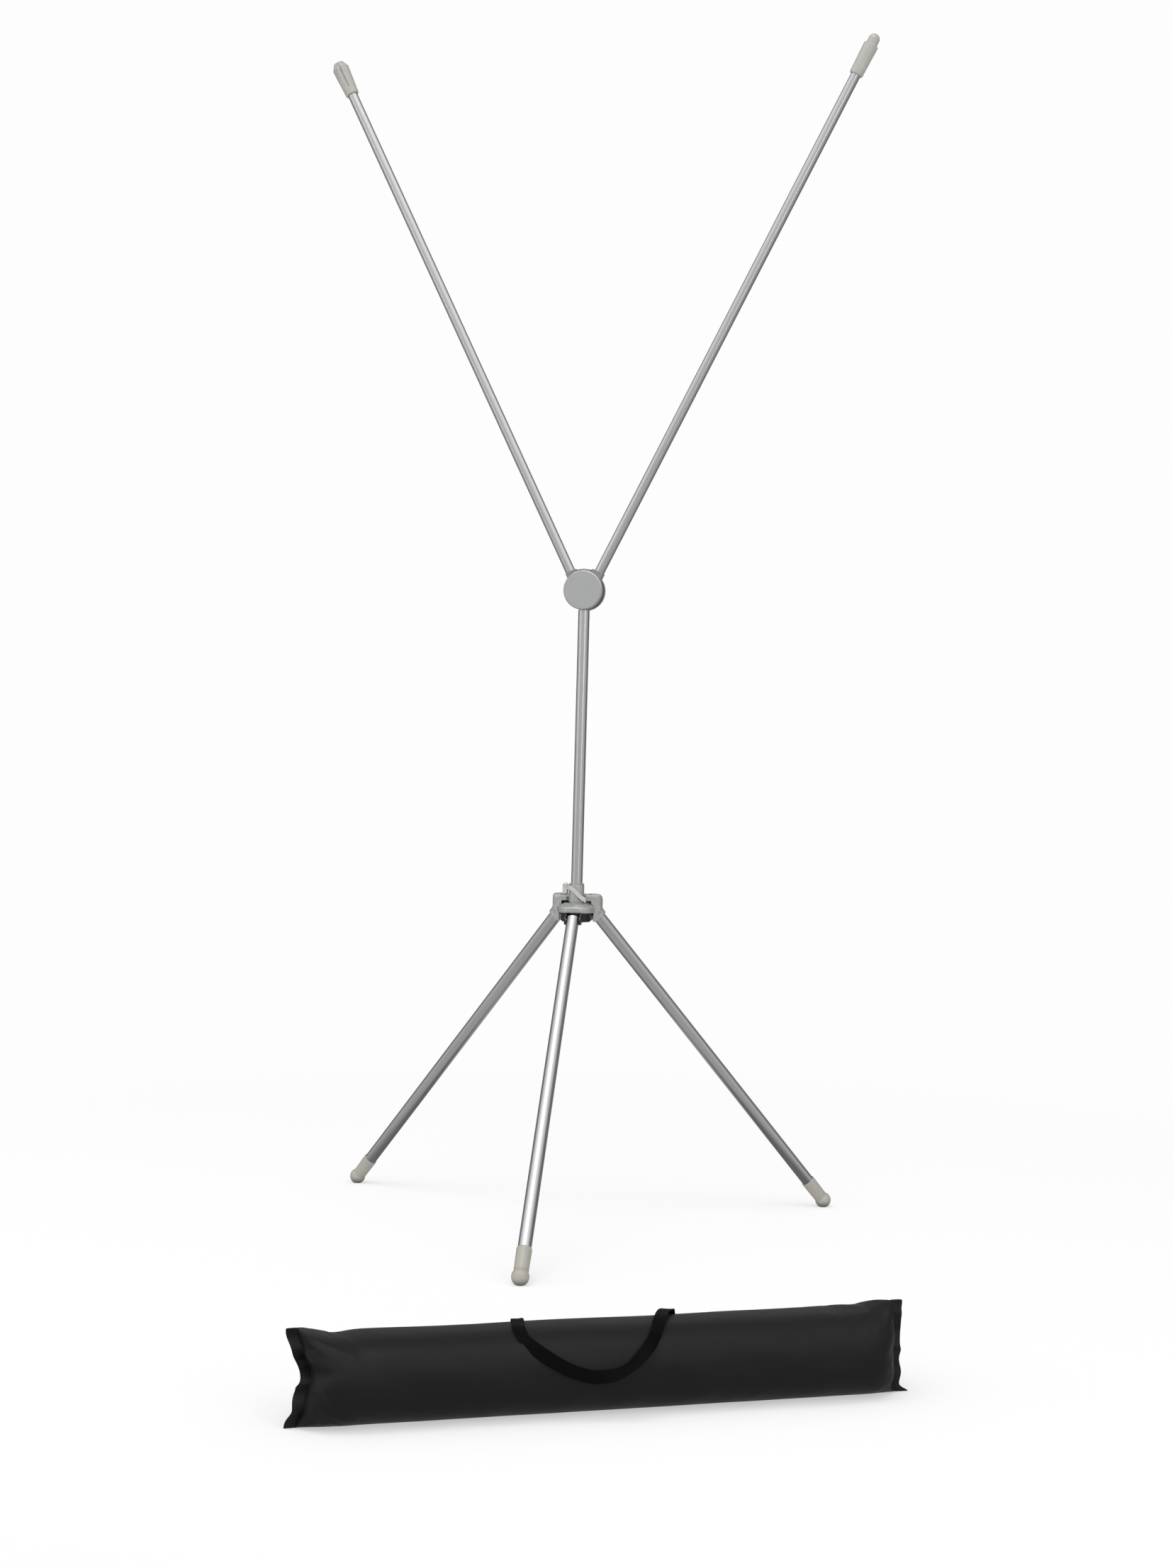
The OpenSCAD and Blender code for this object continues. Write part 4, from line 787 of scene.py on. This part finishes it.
def through(keys, count):
    """A Catmull-Rom curve through the keys: each stretch is the cubic through its two keys whose slope
    at a key is half the step between the key's neighbours."""
    # the last point falls just short of the last key, so that it too has a stretch to lie in
    t = np.linspace(0, len(keys) - 1.0001, count)
    i = t.astype(int)
    f = (t - i)[:, None]
    k = np.pad(keys, ((1, 2), (0, 0)), mode="edge")
    a, b, c, d = k[i], k[i + 1], k[i + 2], k[i + 3]
    return 0.5 * (2 * b + (c - a) * f + (2 * a - 5 * b + 4 * c - d) * f**2 + (3 * b - a - 3 * c + d) * f**3)


def webbing(keys, count=220, columns=20):
    """A flat band along the curve. Its face starts square to a forward-up direction that follows the
    sack, is turned about the curve by the twist, and carries a rounded-rectangle section."""
    path = through(keys, count)
    line, twist = path[:, :3] / 1000, np.radians(path[:, 3])
    tangent = np.gradient(line, axis=0)
    tangent /= np.linalg.norm(tangent, axis=1, keepdims=True)
    rise = np.clip((line[:, 2] - 0.106) / 0.010, 0, 1)[:, None]
    back = np.clip((line[:, 1] - 0.030) / 0.028, 0, 1)[:, None]
    face = np.array([0, -1.0, 0]) * (1 - rise) * (1 - 2 * (line[:, 1:2] > 0.04))
    face = face + np.array([0, 0, 1.0]) * rise * (1 - 0.6 * back)
    face = face + np.array([0, 1.0, 0]) * back
    face -= (face * tangent).sum(1, keepdims=True) * tangent
    face /= np.linalg.norm(face, axis=1, keepdims=True)
    side = np.cross(tangent, face)
    turned = side * np.cos(twist)[:, None] + face * np.sin(twist)[:, None]
    normal = np.cross(turned, tangent)
    angle = np.arange(columns) / columns * 2 * np.pi + np.pi / 2
    c, w = np.cos(angle), np.sin(angle)
    wide = np.sign(w) * np.abs(w) ** 0.25 * strap_wide / 2
    thick = np.sign(c) * np.abs(c) ** 0.6 * strap_thick / 2
    band = line[:, None, :] + turned[:, None, :] * wide[None, :, None]
    band = band + normal[:, None, :] * thick[None, :, None]
    run = np.concatenate([[0], np.cumsum(np.linalg.norm(np.diff(line, axis=0), axis=1))])
    return on_floor(band[..., 0], band[..., 1], band[..., 2]), run, wide


strap_points, strap_run, strap_across = webbing(strap_keys)
strap_flat = np.stack(np.broadcast_arrays(strap_across[None, :], strap_run[:, None]), axis=-1)
strap = sewn("bag_strap", strap_points.reshape(-1, 3), closed_faces(*strap_points.shape[:2]),
             strap_flat.reshape(-1, 2))

# polypropylene webbing in black: ribs across it 1.3 mm apart, drawn 2 mm apart, and a duller,
# blacker face than the nylon
webbing_look, tree, metres = begin("black_polypropylene_webbing")
laid = add(tree, "UVMap", {"uv_map": "cloth"})
ribs = add(tree, "TexWave", {"wave_type": "BANDS", "bands_direction": "Y"}, {
    "Vector": laid.outputs[0], "Scale": 157.0, "Distortion": 1.0, "Detail": 2.0, "Detail Scale": 20.0})
cords = add(tree, "TexWave", {"wave_type": "BANDS", "bands_direction": "X"}, {
    "Vector": laid.outputs[0], "Scale": 130.0, "Distortion": 0.5})
knit = add(tree, "Math", {"operation": "MULTIPLY"}, {0: ribs.outputs["Fac"], 1: cords.outputs["Fac"]})
cloud = add(tree, "TexNoise", None, {"Vector": metres, "Scale": 60.0, "Detail": 3.0})
tone = add(tree, "Mix", {"data_type": "RGBA"}, {
    0: cloud.outputs["Fac"], 6: linear("030303"), 7: linear("070707")})
dull = add(tree, "MapRange", None, {"Value": cloud.outputs["Fac"], "To Min": 0.55, "To Max": 0.72})
ribbed = add(tree, "Bump", None, {"Height": knit.outputs[0], "Strength": 0.5, "Distance": 0.0004})
shader = add(tree, "BsdfPrincipled", None, {
    "Base Color": tone.outputs[2], "Roughness": dull.outputs[0], "Normal": ribbed.outputs[0], "IOR": 1.49,
    "Specular IOR Level": 0.06})
add(tree, "OutputMaterial", None, {"Surface": shader.outputs[0]})
strap.data.materials.append(webbing_look)
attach(strap, "carry_bag")
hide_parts("bag_handle")

# Stitching: bonded polyester thread, with a stitch every 3.2 mm up both faces of each hem.
thread_thick, stitch_long, stitch_step = 0.00045, 0.0024, 0.0032


def stitches(places, runs, outs):
    """One low hexagonal bead for each stitch: four rings along it, smaller at both ends, and flattened
    towards the cloth."""
    rings = np.array([-1.0, -0.55, 0.55, 1.0])
    size = np.array([0.25, 1.0, 1.0, 0.25])
    angle = np.arange(6) / 6 * 2 * np.pi
    across = np.cross(runs, outs)
    sideways = size[:, None] * np.cos(angle) * thread_thick
    outwards = size[:, None] * np.sin(angle) * thread_thick * 0.8
    offset = (runs[:, None, None, :] * (rings * stitch_long / 2)[None, :, None, None]
              + across[:, None, None, :] * sideways[None, :, :, None]
              + outs[:, None, None, :] * outwards[None, :, :, None])
    points = (places[:, None, None, :] + offset).reshape(-1, 3)
    ends = np.array([[0, 5, 4, 3], [0, 3, 2, 1], [18, 19, 20, 21], [18, 21, 22, 23]])
    one = np.concatenate([grid_faces(4, 6), ends])
    faces = (one[None] + 24 * np.arange(len(places))[:, None, None]).reshape(-1, 4)
    return points, faces


def turned_with_bag(way):
    """Directions in the bag's own axes turned by its angle: x and y rotate, z stays."""
    return np.stack([way[:, 0] * np.cos(bag_turn) - way[:, 1] * np.sin(bag_turn),
                     way[:, 0] * np.sin(bag_turn) + way[:, 1] * np.cos(bag_turn), way[:, 2]], axis=-1)


thread_points, thread_faces = [], []
for side in (-1, 1):
    height = np.arange(0.004, hem_tall - 0.003, stitch_step)
    edge_u, edge_v = hem_line(side, height)
    way = np.stack([np.gradient(edge_u, height), np.gradient(edge_v, height), np.ones_like(height)], axis=-1)
    way /= np.linalg.norm(way, axis=1, keepdims=True)
    for face in (-1, 1):
        # on the band's face, where the seam's bell has lowered it, about a quarter of the way in
        place_v = edge_v + hem_roll(height, 0.25) + face * hem_thick * 0.36
        out = np.cross(way, np.array([1.0, 0, 0])) * -face
        out /= np.linalg.norm(out, axis=1, keepdims=True)
        points, faces = stitches(on_floor(edge_u - side * seam_in, place_v, height), turned_with_bag(way),
                                 turned_with_bag(out))
        thread_faces.append(faces + sum(len(p) for p in thread_points))
        thread_points.append(points)
thread_piece = sewn("bag_stitching", np.concatenate(thread_points), np.concatenate(thread_faces))

# bonded polyester thread: black, waxed and a little shinier than the cloth, with a ply every 0.6 mm
thread_look, tree, metres = begin("bonded_polyester_thread")
ply = add(tree, "TexNoise", None, {"Vector": metres, "Scale": 1500.0, "Detail": 1.0})
tone = add(tree, "Mix", {"data_type": "RGBA"}, {
    0: ply.outputs["Fac"], 6: linear("101011"), 7: linear("242425")})
waxed = add(tree, "MapRange", None, {"Value": ply.outputs["Fac"], "To Min": 0.30, "To Max": 0.50})
shader = add(tree, "BsdfPrincipled", None, {
    "Base Color": tone.outputs[2], "Roughness": waxed.outputs[0], "IOR": 1.57})
add(tree, "OutputMaterial", None, {"Surface": shader.outputs[0]})
thread_piece.data.materials.append(thread_look)
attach(thread_piece, "carry_bag")
